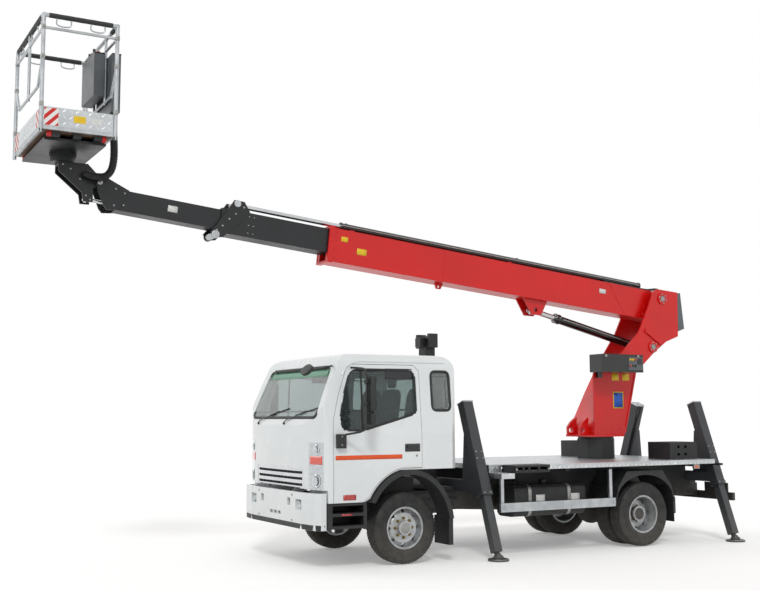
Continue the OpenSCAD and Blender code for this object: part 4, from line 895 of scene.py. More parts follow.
def makeMirrors(m):
    # each head is a superellipsoid: signed powers of cos and sin of two angles, scaled to half its size
    f = station["front"]
    for side, s in sides:
        body = f"{side}_door"
        u, v = np.meshgrid(np.linspace(-math.pi / 2, math.pi / 2, 25), np.linspace(-math.pi, math.pi, 40,
                endpoint=False), indexing="ij")
        power = lambda a, e: np.sign(a) * np.abs(a) ** e
        ex, ey = 0.42, 0.5
        shape = np.stack([power(np.sin(u), ex) * m["head"][0] / 2, power(np.cos(u), ex) * power(np.cos(v),
                ey) * m["head"][1] / 2, power(np.cos(u), ex) * power(np.sin(v), ey) * m["head"][2] / 2], -1)
        heads = []
        for centre, scale in (((f + 0.610, s * 1.280, 1.845), (1, 1, 1)), ((f + 0.610, s * 1.280, 1.585),
                (0.9, 1, 0.33))):
            heads.append(np.array(centre) + shape * scale)
        head = surface(f"{side}_mirror_heads", heads, "grainedPlastic", body, wrapV=True)
        fixNormals(head)
        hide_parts(f"{side}_mirror")
        glass = superPane((f + 0.580, s * 1.280, 1.845), 0.128, 0.340, 0.02)
        pane = surface(f"{side}_mirror_glass", glass, "mirrorGlass", body)
        fixOutward(pane, np.array([-1.0, 0, 0]))
        arm = smoothPath([(f + x, s * y, z) for x, y, z in ((0.850, 1.062, 1.405), (0.800, 1.120, 1.425),
                (0.700, 1.235, 1.455), (0.662, 1.268, 1.52), (0.660, 1.270, 1.80), (0.660, 1.270, 2.03),
                (0.664, 1.235, 2.105), (0.676, 1.110, 2.125), (0.690, 0.972, 2.135))], 6)
        tubes(f"{side}_mirror_arm", [arm], m["tube"], "grainedPlastic", body, 12,
                (1, 0.1, 0.1))
        blocks(f"{side}_mirror_clamps", [((f + 0.636, s * 1.270 - 0.022, z), (f + 0.682, s * 1.270 + 0.022,
                z + 0.05)) for z in (1.72, 1.95)] + [((f + 0.795, min(s * 1.0215, s * 1.078), 1.275),
                (f + 0.900, max(s * 1.0215, s * 1.078), 1.425))], "grainedPlastic", body,
                0.008)
        boltHeads(f"{side}_mirror_screws", [(f + 0.850, s * 1.0785, z) for z in (1.31, 1.40)], (0, s, 0),
                0.008, 0.006, "zincSteel", body)


def superPane(centre, wide, tall, depth):
    # a slightly domed pane: x falls back with the square of the distance from its middle, corners pulled in
    u, v = np.meshgrid(np.linspace(-1, 1, 13), np.linspace(-1, 1, 21), indexing="ij")
    pull = 1 - 0.04 * u ** 4 * v ** 4
    return np.stack([np.full(u.shape, centre[0]) + depth * 0.05 * (u ** 2 + v ** 2),
            centre[1] + u * wide / 2 * pull, centre[2] + v * tall / 2 * pull], -1)


makeMirrors(mirrorSet)
print("mirrors done")


# ---------- seats ----------
def makeSeats():
    # each pad is a crowned box: z = middle + half height * (1
    # - 0.35 |u|^4)(1 - 0.35 |v|^4), ribs pressed across it
    f = station["front"]
    for k, (y, w) in enumerate(((0.520, 0.500), (-0.140, 0.440), (-0.640, 0.440))):
        crownedPad(f"seat_base_{k}", (f - 0.115, y, 1.2365), (0.585, w * 0.97, 0.295), 0.0, 7)
        crownedPad(f"seat_back_{k}", (f - 0.398, y, 1.664), (0.076, w * 0.95, 0.545), -9.2, 6)
        crownedPad(f"head_rest_{k}", (f - 0.446, y, 2.025), (0.044, w * 0.38, 0.155), -5.0, 1)
    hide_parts("seats")


def crownedPad(name, centre, size, lean, ribs):
    # superellipsoid cushion with shallow sewn channels: the
    # surface sinks where cos of the channel count peaks
    u, v = np.meshgrid(np.linspace(-math.pi / 2, math.pi / 2, 41), np.linspace(-math.pi, math.pi, 72,
            endpoint=False), indexing="ij")
    power = lambda a, e: np.sign(a) * np.abs(a) ** e
    x = power(np.cos(u), 0.35) * power(np.cos(v), 0.35)
    y = power(np.cos(u), 0.35) * power(np.sin(v), 0.35)
    z = power(np.sin(u), 0.45)
    channel = 1 - 0.05 * (np.cos(y * ribs * math.pi / 2 * 2) > 0.93)
    p = np.stack([x * size[0] / 2 * (channel if size[0] < 0.1 else 1), y * size[1] / 2,
            z * size[2] / 2 * (1 if size[0] < 0.1 else channel)], -1)
    a = math.radians(lean)
    c, s = math.cos(a), math.sin(a)
    turn = np.array([[c, 0, s], [0, 1, 0], [-s, 0, c]])
    o = surface(name, p @ turn.T + np.array(centre), "seatCloth", "cab", wrapV=True)
    fixNormals(o)
    return o


makeSeats()
print("seats done")


# ---------- bumper, steps and trim ----------
def makeBumperPieces():
    f = station["front"]
    # painted shade: near-black plates at the backs of the bumper's square recesses and low slots darken
    # them
    shadedSinks = [((f + 1.098, s * 0.370 - 0.038, 0.657), (f + 1.104, s * 0.370 + 0.038, 0.733))
            for s in (1, -1)]
    shadedSinks += [((f + 1.102, y - 0.040, 0.542), (f + 1.106, y + 0.040, 0.573)) for y in (-0.11, 0, 0.11)]
    blocks("bumper_recess_shade_plates", shadedSinks, "softRubber", "chassis", 0.001)
    for side, s in sides:
        y0, y1 = sorted((s * 0.556, s * 0.690))
        u, v = np.meshgrid(np.linspace(0, 1, 13), np.linspace(0, 1, 9), indexing="ij")
        slant = 0.012 * (u * 2 - 1) * -s
        lens = np.stack([f + 1.121 + 0.012 * (1 - (2 * u - 1) ** 4) * (1 - (2 * v - 1) ** 4),
                y0 + (y1 - y0) * u, 0.632 + 0.086 * v + slant], -1)
        o = surface(f"{side}_fog_lens", lens, "clearLens", "chassis")
        fixOutward(o, np.array([1.0, 0, 0]))
        bowl = np.stack([f + 1.1195 + 0 * u, y0 + (y1 - y0) * u, 0.632 + 0.086 * v + slant], -1)
        o = surface(f"{side}_fog_bowl", bowl, "lampBowl", "chassis")
        fixOutward(o, np.array([1.0, 0, 0]))
    # black lip under the bumper
    line = np.array([(1.020, -1.000), (1.062, -1.008), (1.110, -0.950), (1.148, -0.690), (1.148, 0.690),
            (1.110, 0.950), (1.062, 1.008), (1.020, 1.000)])
    path = np.column_stack([line[:, 0] + f, line[:, 1], np.full(len(line), 0.452)])
    o = surface("bumper_lip", sweepProfile(spread(path, 0.05, False) + [-0.004, 0, 0],
            [(-0.003, -0.032), (0.006, -0.030), (0.008, 0.024), (-0.003, 0.028)]), "grainedPlastic",
            "chassis", wrapV=True, capEnds=True)
    fixNormals(o)
    boltHeads("bumper_screws", [(f + 1.1505, y, z) for y in (-0.46, 0.46) for z in (0.50, 0.77)], (1, 0, 0),
            0.010, 0.007, "zincSteel", "chassis")
    # ribs of the grille bars and the mesh behind them
    rows = []
    for z in (0.880, 0.945, 1.010):
        for y in np.linspace(-0.55, 0.55, 12):
            spot = touch(["front_panel", "cab_shell", "grille"], (3, y, z + 0.022), (-1, 0, 0))
            if spot:
                x = spot[0][0]
                rows.append(((x - 0.020, y - 0.004, z - 0.014), (x - 0.006, y + 0.004, z + 0.014)))
    blocks("grille_ribs", rows, "grainedPlastic", "cab", 0.001)
    back = [((f + 1.050, -0.60, 0.862), (f + 1.056, 0.60, 1.030))]
    blocks("grille_mesh", back, "grainedPlastic", "cab", 0.001)


makeBumperPieces()


def makeStepPieces():
    f = station["front"]
    for side, s in sides:
        y0, y1 = sorted((s * 0.78, s * 1.004))
        rows = []
        for z in (0.464, 0.594):
            for x in np.linspace(0.585, 0.905, 9):
                rows.append(((f + x - 0.006, y0, z - 0.002), (f + x + 0.006, y1, z + 0.004)))
        blocks(f"{side}_step_treads", rows, "grainedPlastic", "cab", 0.001)
        boltHeads(f"{side}_flap_bolts", [(f - 0.5565, s * y, 0.485) for y in (0.76, 0.87, 0.98)],
                (-1, 0, 0), 0.008, 0.006, "zincSteel", "cab")


makeStepPieces()


# ---------- chassis ----------
def makeChassisPieces():
    f = station["front"]
    for side, s in sides:
        # bolts along the rail's web, at each cross member and each bracket
        spots = [(f + v, s * 0.4253, z) for v in np.arange(-4.70, 0.95, 0.235) for z in (0.585, 0.695)
                if not -3.6 < v < -3.1]
        boltHeads(f"{side}_rail_bolts", spots, (0, s, 0), 0.011, 0.009, "chassisEnamel", "chassis")
        # brake pipes and a wiring loom along the rail
        for k, (z, r, look) in enumerate(((0.722, 0.006, "softRubber"), (0.650, 0.011, "grainedPlastic"))):
            path = [(f + v, s * (0.436 + 0.003 * math.sin(v * 9 + k)), z + 0.004 * math.sin(v * 5 + k))
                    for v in np.linspace(-1.0, 0.5, 40)]
            tubes(f"{side}_rail_pipe_{k}", [path], r, look, "chassis", 8)
        # side lamps: amber lens on a black base, one under the deck's front corner, one near its rear end
        for tag, lx, ly, lz in (("front", -1.245, 1.1305, 0.925), ("rear", -4.18, 1.1165, 0.955)):
            if tag == "rear":
                y0, y1 = sorted((s * 1.085, s * 1.112))
                blocks(f"{side}_lamp_bracket", [((f + lx - 0.05, y0, 0.930), (f + lx + 0.05, y1, 0.9895))],
                       "zincSteel", "chassis", 0.001)
            lampOn(f"{side}_{tag}_side_lamp", (f + lx, s * ly, lz), s, "chassis")


def lampOn(name, at, side, body):
    # a small amber lens, 92 by 38 mm, whose height falls with the fourth power of u and v
    u, v = np.meshgrid(np.linspace(-1, 1, 15), np.linspace(-1, 1, 9), indexing="ij")
    high = 0.010 * (1 - u ** 4) * (1 - v ** 4)
    lens = np.stack([at[0] + 0.046 * u, at[1] - side * 0.012 + side * (high + 0.001), at[2] + 0.019 * v],
            -1)
    o = surface(name, lens, "amberLens", body)
    fixOutward(o, np.array([0, side, 0.0]))


makeChassisPieces()
print("bumper, steps and chassis pieces done")


# ---------- deck and tank ----------
def makeDeckPieces():
    f = station["front"]
    top = station["deckTop"]
    for side, s in sides:
        # folded edge: a lip of thin sheet along the deck's long side, with rivets
        x0, x1 = f - 4.478, f - (1.845 if s > 0 else 1.152)
        edge = s * (station["deckHalf"] - 0.0035)
        line = spread([(x0, edge, top - 0.052), (x1, edge, top - 0.052)], 0.5, False)
        o = surface(f"{side}_deck_hem", sweepProfile(line, ring(0.0035, 8)), "tubeAluminium", "chassis",
                wrapV=True, capEnds=True)
        fixNormals(o)
        rivets = [(x, s * (station["deckHalf"] - 0.004), top - 0.030) for x in np.arange(x0 + 0.1, x1,
                0.165)]
        boltHeads(f"{side}_deck_rivets", rivets, (0, s, 0), 0.0065, 0.0039, "zincSteel", "chassis",
                False)
        # guard: pressed grooves along the flat section and its bolts
        for k, z in enumerate((0.545, 0.570, 0.595)):
            groove = spread([(f - 2.820, s * 1.1165, z), (f - 1.150, s * 1.1165, z)], 0.6, False)
            surface(f"{side}_guard_rib_{k}", sweepProfile(groove, rounded(0.010, 0.0028, 0.0012)),
                    "tubeAluminium", "chassis", wrapV=True, capEnds=True)
        boltHeads(f"{side}_guard_bolts", [(f + v, s * 1.1185 - s * 0.004, z) for v in (-1.195, -2.79)
                for z in (0.557, 0.583)], (0, s, 0), 0.009, 0.0035, "zincSteel", "chassis",
                False)
    # screws that hold the plate to its bearers
    spots = [(f + x - 0.03, y, top) for x in (-2.10, -2.76, -4.10) for y in np.linspace(-1.05, 1.05, 15)]
    boltHeads("deck_screws", [p for p in spots if not (-3.80 < p[0] - f < -3.2 and abs(p[1]) < 0.3)],
            (0, 0, 1), 0.007, 0.002, "zincSteel", "chassis", False)
    # step treads and lock bolt of the folding step
    rows = [((f + x, 0.90, top - 0.068), (f + x + 0.008, 1.122, top - 0.060))
            for x in np.arange(-1.79, -1.39, 0.022)]
    blocks("folding_step_grating", rows, "zincSteel", "chassis", 0.001)
    boltHeads("folding_step_bolts", [(f - 1.822, 1.1312, top - 0.050), (f - 1.362, 1.1312, top - 0.050)],
            (0, 1, 0), 0.011, 0.009, "zincSteel", "chassis")


makeDeckPieces()


def makeTankPieces():
    f = station["front"]
    # straps follow the tank's outline: the rounded rectangle stood 1.5 mm off, 45 mm wide
    outline = rounded(0.372, 0.372, 0.082, 8) + np.array([0.705, 0.615])
    for k, x in enumerate((-2.30, -1.72)):
        o = surface(f"tank_strap_{k}", strapGrid(outline, f + x, 0.045), "zincSteel", "chassis",
                wrapU=True, wrapV=True)
        fixNormals(o)
    # filler neck and cap, two vent pipes, blank plates
    ringsUp("tank_cap", [(0.0, 0.040), (0.018, 0.040), (0.020, 0.046), (0.045, 0.045), (0.050, 0.040),
            (0.050, 0.0)], (f - 2.05, 0.70, 0.799), "grainedPlastic", "chassis")
    pipe = smoothPath([(f - 1.62, 0.70, 0.80), (f - 1.62, 0.70, 0.835), (f - 1.58, 0.62, 0.845),
            (f - 1.50, 0.50, 0.82), (f - 1.45, 0.445, 0.76)], 6)
    tubes("tank_pipes", [pipe, pipe + [-0.06, 0.01, 0.004]], 0.009, "softRubber", "chassis",
            8)
    for k, x in enumerate((-2.46, -1.94)):
        sticker(f"tank_label_{k}", ["tanks"], upright(f + x, f + x + 0.13, 0.60, 0.68, 2), (0, -1, 0),
                "whiteVinyl", "chassis", (3, 3))


def strapGrid(outline, x, wide):
    # a closed flat band: inner and outer outlines at both edges of the band
    middle = outline.mean(0)
    out = outline + (outline - middle) / np.linalg.norm(outline - middle, axis=1)[:, None] * 0.003
    rows = [(outline, -wide / 2), (out, -wide / 2), (out, wide / 2), (outline, wide / 2)]
    return np.stack([np.column_stack([np.full(len(o), x + dx), o[:, 0], o[:, 1]]) for o, dx in rows], 1)


makeTankPieces()
print("deck and tank pieces done")


# ---------- outriggers ----------
legSet = {"at": (-1.047, -4.727), "top": 1.760, "middle": 0.5533, "lean": math.radians(19.9), "out": 0.130,
        "foot": 1.1904}


def onLeg(points, x, s):
    # (x, across, along) in the leg's own frame, its axis leaning outwards at the foot
    p = np.atleast_2d(np.asarray(points, float))
    c, k = math.cos(legSet["lean"]), math.sin(legSet["lean"])
    return np.stack([p[:, 0] + station["front"] + x, s * (legSet["middle"] + p[:, 1] * c - p[:, 2] * k),
            legSet["top"] + p[:, 1] * k + p[:, 2] * c], 1)


def makeLegPieces(g):
    f = station["front"]
    h = g["out"] / 2
    for tag, x in (("front", g["at"][0]), ("rear", g["at"][1])):
        for side, s in sides:
            name = f"{tag}_{side}"
            here = lambda p, x=x, s=s: onLeg(p, x, s)
            # aluminium cap on the housing's top, with its four screws
            cap = blocks(f"{name}_housing_cap", [((-h - 0.006, -h - 0.006, -0.004),
                    (h + 0.006, h + 0.006, 0.014))], "tubeAluminium", "chassis", 0.004,
                    here)
            if s < 0:
                fixNormals(cap)
            tilt = np.array([0, -s * math.sin(g["lean"]), math.cos(g["lean"])])
            boltHeads(f"{name}_cap_screws", here([(a, b, 0.014) for a in (-0.045, 0.045)
                    for b in (-0.045, 0.045)]), tilt, 0.0075, 0.006, "zincSteel", "chassis")
            # bolts at the guide's mouth, and a bolted plate on the housing
            out = np.array([0, s * math.cos(g["lean"]), math.sin(g["lean"])])
            boltHeads(f"{name}_guide_bolts", here([(a, h + 0.006, -1.105) for a in (-0.04, 0.04)]), out,
                    0.009, 0.008, "zincSteel", "chassis")
            boltHeads(f"{name}_housing_bolts", here([(a, h, z) for a in (-0.04, 0.04)
                    for z in (-0.62, -0.70)]), out, 0.010, 0.008, "zincSteel", "chassis")
            plate = blocks(f"{name}_housing_plate", [((-0.055, h - 0.001, -0.76),
                    (0.055, h + 0.0035, -0.56))], "greyEnamel", "chassis", 0.001, here)
            if s < 0:
                fixNormals(plate)
            # hydraulic hose up the back of the housing
            hose = here(smoothPath([(0.02, -h - 0.012, -0.95), (0.02, -h - 0.016, -0.6),
                    (0.025, -h - 0.012, -0.25), (0.02, -h - 0.030, -0.08), (0.0, -h - 0.012, -0.02)], 6))
            tubes(f"{name}_leg_hose", [hose], 0.010, "softRubber", "chassis", 10,
                    (1, 0, 0))
            # foot plate: dished rim and ball collar
            leg = f"{name}_leg"
            foot = (f + x, s * g["foot"], 0)
            ringsUp(f"{name}_foot_rim", [(0.0175, 0.1185), (0.0215, 0.1175), (0.024, 0.112),
                    (0.0225, 0.104), (0.0182, 0.100)], foot, "zincSteel", leg, 64)
            ringsUp(f"{name}_foot_collar", [(0.0385, 0.060), (0.050, 0.056), (0.056, 0.050), (0.052, 0.044),
                    (0.040, 0.043)], foot, "castIron", leg, 40)
            boltHeads(f"{name}_foot_bolts", [(foot[0] + 0.084 * math.cos(a), foot[1] + 0.084 * math.sin(a),
                    0.018) for a in np.arange(4) * math.pi / 2 + 0.785], (0, 0, 1), 0.008, 0.007,
                    "zincSteel", leg)


makeLegPieces(legSet)
print("outrigger pieces done")


# ---------- turret ----------
turretSet = {"half": 0.250, "slewX": -3.480, "pivot": (-4.500, 3.200), "cylinder": (-4.306, 2.531)}


def makeTurretPieces(g):
    f = station["front"]
    w = g["half"]
    # ring of slewing bolts
    a = np.arange(24) * math.pi / 12
    boltHeads("slewing_bolts", np.stack([f + g["slewX"] + 0.215 * np.cos(a), 0.215 * np.sin(a),
            np.full(24, 1.355)], 1)[(np.abs(0.215 * np.cos(a)) < 0.19)], (0, 0, 1), 0.010, 0.010,
            "zincSteel", "turret")
    for side, s in sides:
        # pin caps with keeper plates over the boom's and the cylinder's pins
        for tag, (px, pz) in (("boom", g["pivot"]), ("cylinder", g["cylinder"])):
            ringsOnAxis(f"{side}_{tag}_pin_cap", [(-0.011, 0.078), (0.004, 0.078), (0.006, 0.074),
                    (0.006, 0.041)], (f + px, s * (w + 0.0115), pz), (0, s, 0), "redEnamel", "turret",
                    48)
            ringsOnAxis(f"{side}_{tag}_pin_end", [(0.0, 0.039), (0.007, 0.037), (0.009, 0.030),
                    (0.004, 0.010), (0.004, 0.0)], (f + px, s * (w + 0.0115), pz), (0, s, 0), "zincSteel",
                    "turret", 48)
            boltHeads(f"{side}_{tag}_keeper_bolts", circlePlaces((f + px, s * (w + 0.0175), pz), 0.060, 6,
                    0.3), (0, s, 0), 0.0085, 0.008, "zincSteel", "turret")
        # bolts along the foot
        spots = [(x, 1.372) for x in np.arange(-3.69, -3.28, 0.075)] + [(x, 1.430)
                for x in np.arange(-3.69, -3.28, 0.15)]
        boltHeads(f"{side}_foot_bolts", [(f + x, s * w, z) for x, z in spots], (0, s, 0), 0.010, 0.008,
                "redEnamel", "turret")
        if s < 0:
            continue
        # stiffener along the left plate's rear edge
        bar = np.array([(-3.800, 1.46), (-3.985, 2.165), (-3.962, 2.165), (-3.778, 1.46)])
        low, high = [np.column_stack([f + bar[:, 0], np.full(4, y), bar[:, 1]])
                     for y in (w - 0.001, w + 0.012)]
        slab("left_stiffener_0", low, high, "redEnamel", "turret", 0.002)
        # blank labels on the left plate
        for tag, look, x, z, wide, tall, thick in (
                ("yellow", "yellowVinyl", -3.69, 2.067, 0.12, 0.09, 0.0006),
                ("yellow_rear", "yellowVinyl", -3.87, 2.067, 0.12, 0.09, 0.0006),
                ("yellow_low", "yellowVinyl", -3.76, 1.70, 0.18, 0.22, 0.0006),
                ("blue", "blueVinyl", -3.745, 1.715, 0.15, 0.19, 0.0012)):
            sticker(f"left_{tag}_label", ["turret"], upright(f + x, f + x + wide, z, z + tall, 2),
                    (0, -1, 0), look, "turret", (2, 2), thick)


makeTurretPieces(turretSet)


def makeControlBox():
    # grey panel with a dark display and buttons on the box's outer side, hinges and latches
    f = station["front"]
    y = 0.550
    blocks("control_panel", [((f - 3.84, y - 0.001, 2.195), (f - 3.60, y + 0.005, 2.365))], "greyPlastic",
            "turret", 0.004)
    blocks("control_display", [((f - 3.825, y + 0.004, 2.27), (f - 3.745, y + 0.008, 2.345))], "glossBlack",
            "turret", 0.002)
    for k, (x, z, look) in enumerate(((-3.715, 2.33, "redLens"), (-3.67, 2.33, "yellowVinyl"),
            (-3.625, 2.33, "yellowVinyl"), (-3.715, 2.25, "glossBlack"), (-3.67, 2.25, "glossBlack"),
            (-3.625, 2.25, "redLens"))):
        ringsOnAxis(f"control_button_{k}", [(0.0, 0.016), (0.004, 0.016), (0.006, 0.013), (0.014, 0.0125),
                (0.016, 0.010), (0.017, 0.0)], (f + x, y + 0.0045, z), (0, 1, 0), look, "turret",
                24)
    lid = [((f - 3.852, 0.309, 2.386), (f - 3.148, 0.552, 2.397))]
    blocks("control_box_lid", lid, "glossBlack", "turret", 0.004)
    blocks("control_box_latches", [((f + x, y - 0.001, 2.36), (f + x + 0.035, y + 0.008, 2.392))
            for x in (-3.78, -3.24)], "zincSteel", "turret", 0.002)


makeControlBox()
print("turret pieces done")


# ---------- boom ----------
boomSet = {"half": 140, "top": 105, "bottom": -300, "length": 5070, "middleFront": 6400, "tipFront": 7690,
           "middleTop": 86, "middleBottom": -197, "cylinderLine": 167}


def makeBoomPieces(b):
    w = b["half"]
    for side, s in sides:
        out = (0, s, 0)
        y = lambda v, s=s: s * v
        # slanted seam plate near the pivot and a straight one at the sling lug
        plates = [([(470, -296), (760, 101), (850, 101), (560, -296)], w - 1, w + 3.5),
                  ([(3405, -298), (3405, 103), (3470, 103), (3470, -298)], w - 1, w + 3)]
        for k, (p, a, c) in enumerate(plates):
            u = np.array(p, float)
            low, high = [onBoom(np.column_stack([u[:, 0], np.full(len(u), y(h)), u[:, 1]])) for h in (a, c)]
            slab(f"{side}_seam_plate_{k}", low, high, "redEnamel", "boom_base", 0.0015)
        # weld beads along the four corners of the box
        for k, v in enumerate((b["top"] - 4, b["bottom"] + 4)):
            line = onBoom([(u, y(w + 0.4), v + 0.8 * math.sin(u * 0.21))
                    for u in np.arange(-55, b["length"] - 70, 22)])
            tubes(f"{side}_weld_{k}", [line], 0.0035, "redEnamel", "boom_base", 6)
        bolts = [(b["length"] - 30, y(w + 14), v) for v in np.linspace(-285, 90, 6)] + [(b["length"] - 95,
                y(w), v) for v in (-250, -140, -30, 60)]
        boltHeads(f"{side}_collar_bolts", onBoom(bolts), out, 0.009, 0.008, "redEnamel", "boom_base")
        boltHeads(f"{side}_rear_bolts", onBoom([(u, y(w), v) for u in (-45, 130, 230)
                for v in (-240, -130)]), out, 0.010, 0.009, "redEnamel", "boom_base")
        # blank plates
        for tag, look, u, v, lw, lh in (("yellow", "yellowVinyl", 4560, -160, 130, 75),
                ("small", "whiteVinyl", 900, -60, 110, 60), ("front", "yellowVinyl", 4820, -40, 90, 60)):
            c = onBoom(upright(u, u + lw, v, v + lh, y(400)))
            sticker(f"{side}_boom_{tag}_plate", ["boom_base"], c, (0, -s, 0), look, "boom_base",
                    (3, 2))
        # hoses from the turret over the pivot into the boom
        for k in range(3):
            path = smoothPath(onBoom([(-48 + 18 * k, y(196 + 6 * k), -120), (-62 + 16 * k, y(186), 10),
                    (-30 + 14 * k, y(158), 118 + 10 * k), (110, y(96 - 22 * k), 124 + 4 * k),
                    (330, y(92 - 22 * k), 118), (900, y(92 - 22 * k), 117)]), 8)
            tubes(f"{side}_boom_hose_{k}", [path[8:]], 0.010, "softRubber", "boom_base",
                    10, (0.1, 1, 0.05))
    # hose clamps on top of the boom
    for k, u in enumerate((420, 860)):
        q = np.array([(u, -104, 104), (u + 26, -104, 104), (u + 26, 104, 104), (u, 104, 104)])
        slab(f"hose_clamp_{k}", onBoom(q), onBoom(q + [0, 0, 27]), "grainedPlastic", "boom_base",
                0.003)
    # end plate at the rear of the boom
    half = w - 6
    face = np.array([(-71, -half, -285), (-71, half, -285), (-71, half, 90), (-71, -half, 90)])
    slab("boom_end_plate", onBoom(face), onBoom(face - [5, 0, 0]), "redEnamel", "boom_base",
            0.0015)
    c, s = math.cos(station["luff"]), math.sin(station["luff"])
    boltHeads("boom_end_bolts", onBoom([(-76, yy, v) for yy in (-110, 110) for v in (-255, -100, 60)]),
            (-c, 0, -s), 0.009, 0.008, "redEnamel", "boom_base")
    # extension cylinder: end rings, port fittings and pipe
    axis = (c, 0, s)
    for k, u in enumerate((208, 2300, 4800, 4868)):
        ringsOnAxis(f"extension_ring_{k}", [(-0.010, 0.0445), (-0.010, 0.0495), (-0.006, 0.0515),
                (0.006, 0.0515), (0.010, 0.0495), (0.010, 0.0445)],
                onBoom([(u if k else 222, 0, b["cylinderLine"])])[0], axis, "glossBlack", "boom_base",
                40)
    pipe = smoothPath(onBoom([(330, 58, 167), (420, 60, 172), (2600, 60, 172), (4700, 60, 172),
            (4790, 44, 176)]), 6)
    tubes("extension_pipe", [pipe], 0.007, "zincSteel", "boom_base", 8, (0, 1, 0.05))
    # luffing cylinder: gland ring, port block and pipe loop, as (along, across, up) from the barrel's
    # pivot; the rod's eye lies 2 m along the boom and 0.43 m under its line
    (px, pz), (bx, bz) = turretSet["pivot"], turretSet["cylinder"]
    ex, ez = px + 2.0 * c + 0.43 * s, pz + 2.0 * s - 0.43 * c
    run = math.atan2(ez - bz, ex - bx)
    cc, ss = math.cos(run), math.sin(run)

    def onCylinder(q):
        q = np.asarray(q, float)
        return np.stack([station["front"] + bx + q[:, 0] * cc - q[:, 2] * ss, q[:, 1],
                         bz + q[:, 0] * ss + q[:, 2] * cc], 1)

    for k, (u, r) in enumerate(((1.512, 0.064), (1.452, 0.064), (0.11, 0.058))):
        ringsOnAxis(f"luffing_ring_{k}", [(-0.009, r - 0.006), (-0.009, r), (-0.005, r + 0.003),
                (0.005, r + 0.003), (0.009, r), (0.009, r - 0.006)], onCylinder([(u, 0, 0)])[0],
                (cc, 0, ss), "glossBlack", "luff_barrel", 40)
    loop = smoothPath(onCylinder([(0.20, 0.050, 0.0), (0.20, 0.075, 0.0), (0.30, 0.080, 0.0),
            (0.80, 0.079, 0.0), (1.30, 0.080, 0.0), (1.40, 0.075, 0.0), (1.42, 0.052, 0.0)]), 6)
    tubes("luffing_pipe", [loop], 0.007, "zincSteel", "luff_barrel", 8, (0, 1, 0.05))


makeBoomPieces(boomSet)


def makeFrontSections(b):
    for side, s in sides:
        out = (0, s, 0)
        # head bracket bolts, roller ends and their retaining plates
        head = b["middleFront"]
        boltHeads(f"{side}_bracket_bolts", onBoom([(head - 250, s * 132, 130), (head - 160, s * 132, 40),
                (head - 90, s * 132, -30), (head - 20, s * 132, -120), (head + 40, s * 132, -180)]), out,
                0.010, 0.009, "zincSteel", "boom_mid")
        for k, (u, v, r) in enumerate(((head + 50, b["middleBottom"] - 34, 0.034),
                (head - 170, b["middleTop"] + 75, 0.028))):
            ringsOnAxis(f"{side}_roller_end_{k}", [(-0.001, r + 0.012), (0.005, r + 0.012),
                    (0.008, r + 0.008), (0.008, r - 0.006), (0.006, 0.010), (0.006, 0.0)],
                    onBoom([(u, s * 132, v)])[0], out, "tubeAluminium", "boom_mid", 36)
        # screws of the side wear pads and the nose plates
        boltHeads(f"{side}_pad_screws", onBoom([(head - 330 - 60 * k, s * 118, v) for k in range(2)
                for v in (40, -60, -150)]), out, 0.007, 0.005, "zincSteel", "boom_mid", False)
        nose = b["tipFront"]
        boltHeads(f"{side}_nose_bolts", onBoom([(nose - 190, s * 112, 30), (nose - 190, s * 112, -100),
                (nose - 90, s * 112, 60), (nose - 90, s * 112, -120)]), out, 0.009, 0.007, "zincSteel",
                "boom_tip")
        ringsOnAxis(f"{side}_level_pin_cap", [(0.0, 0.030), (0.006, 0.030), (0.008, 0.026), (0.008, 0.0)],
                onBoom([(7780, s * 128, 97)])[0], out, "zincSteel", "basket_link", 36)
        c = onBoom(upright(6900, 7010, -70, 0, s * 400))
        sticker(f"{side}_tip_label", ["boom_tip"], c, (0, -s, 0), "whiteVinyl", "boom_tip",
                (2, 2))
    # silver rollers seen between the bracket's plates
    for k, (u, v, r) in enumerate(((b["middleFront"] + 50, b["middleBottom"] - 34, 0.0355),
            (b["middleFront"] - 170, b["middleTop"] + 75, 0.0295))):
        ringsOnAxis(f"roller_sleeve_{k}", [(-0.095, r - 0.003), (-0.095, r), (-0.02, r + 0.0015),
                (0.02, r + 0.0015), (0.095, r), (0.095, r - 0.003)], onBoom([(u, 0, v)])[0], (0, 1, 0),
                "tubeAluminium", "boom_mid", 40)


makeFrontSections(boomSet)
print("boom pieces done")


# ---------- basket ----------
lu, cz = station["luff"], math.cos(station["luff"])
linkX = station["pivotX"] + station["linkU"] * cz - station["linkV"] * math.sin(lu)
linkZ = station["pivotZ"] + station["linkU"] * math.sin(lu) + station["linkV"] * cz
basketSet = {"x0": linkX + 0.364 - 0.370, "x1": linkX + 0.364 + 0.370, "y": 0.670, "floor": linkZ + 0.390,
        "high": 1.130, "tube": 0.021}


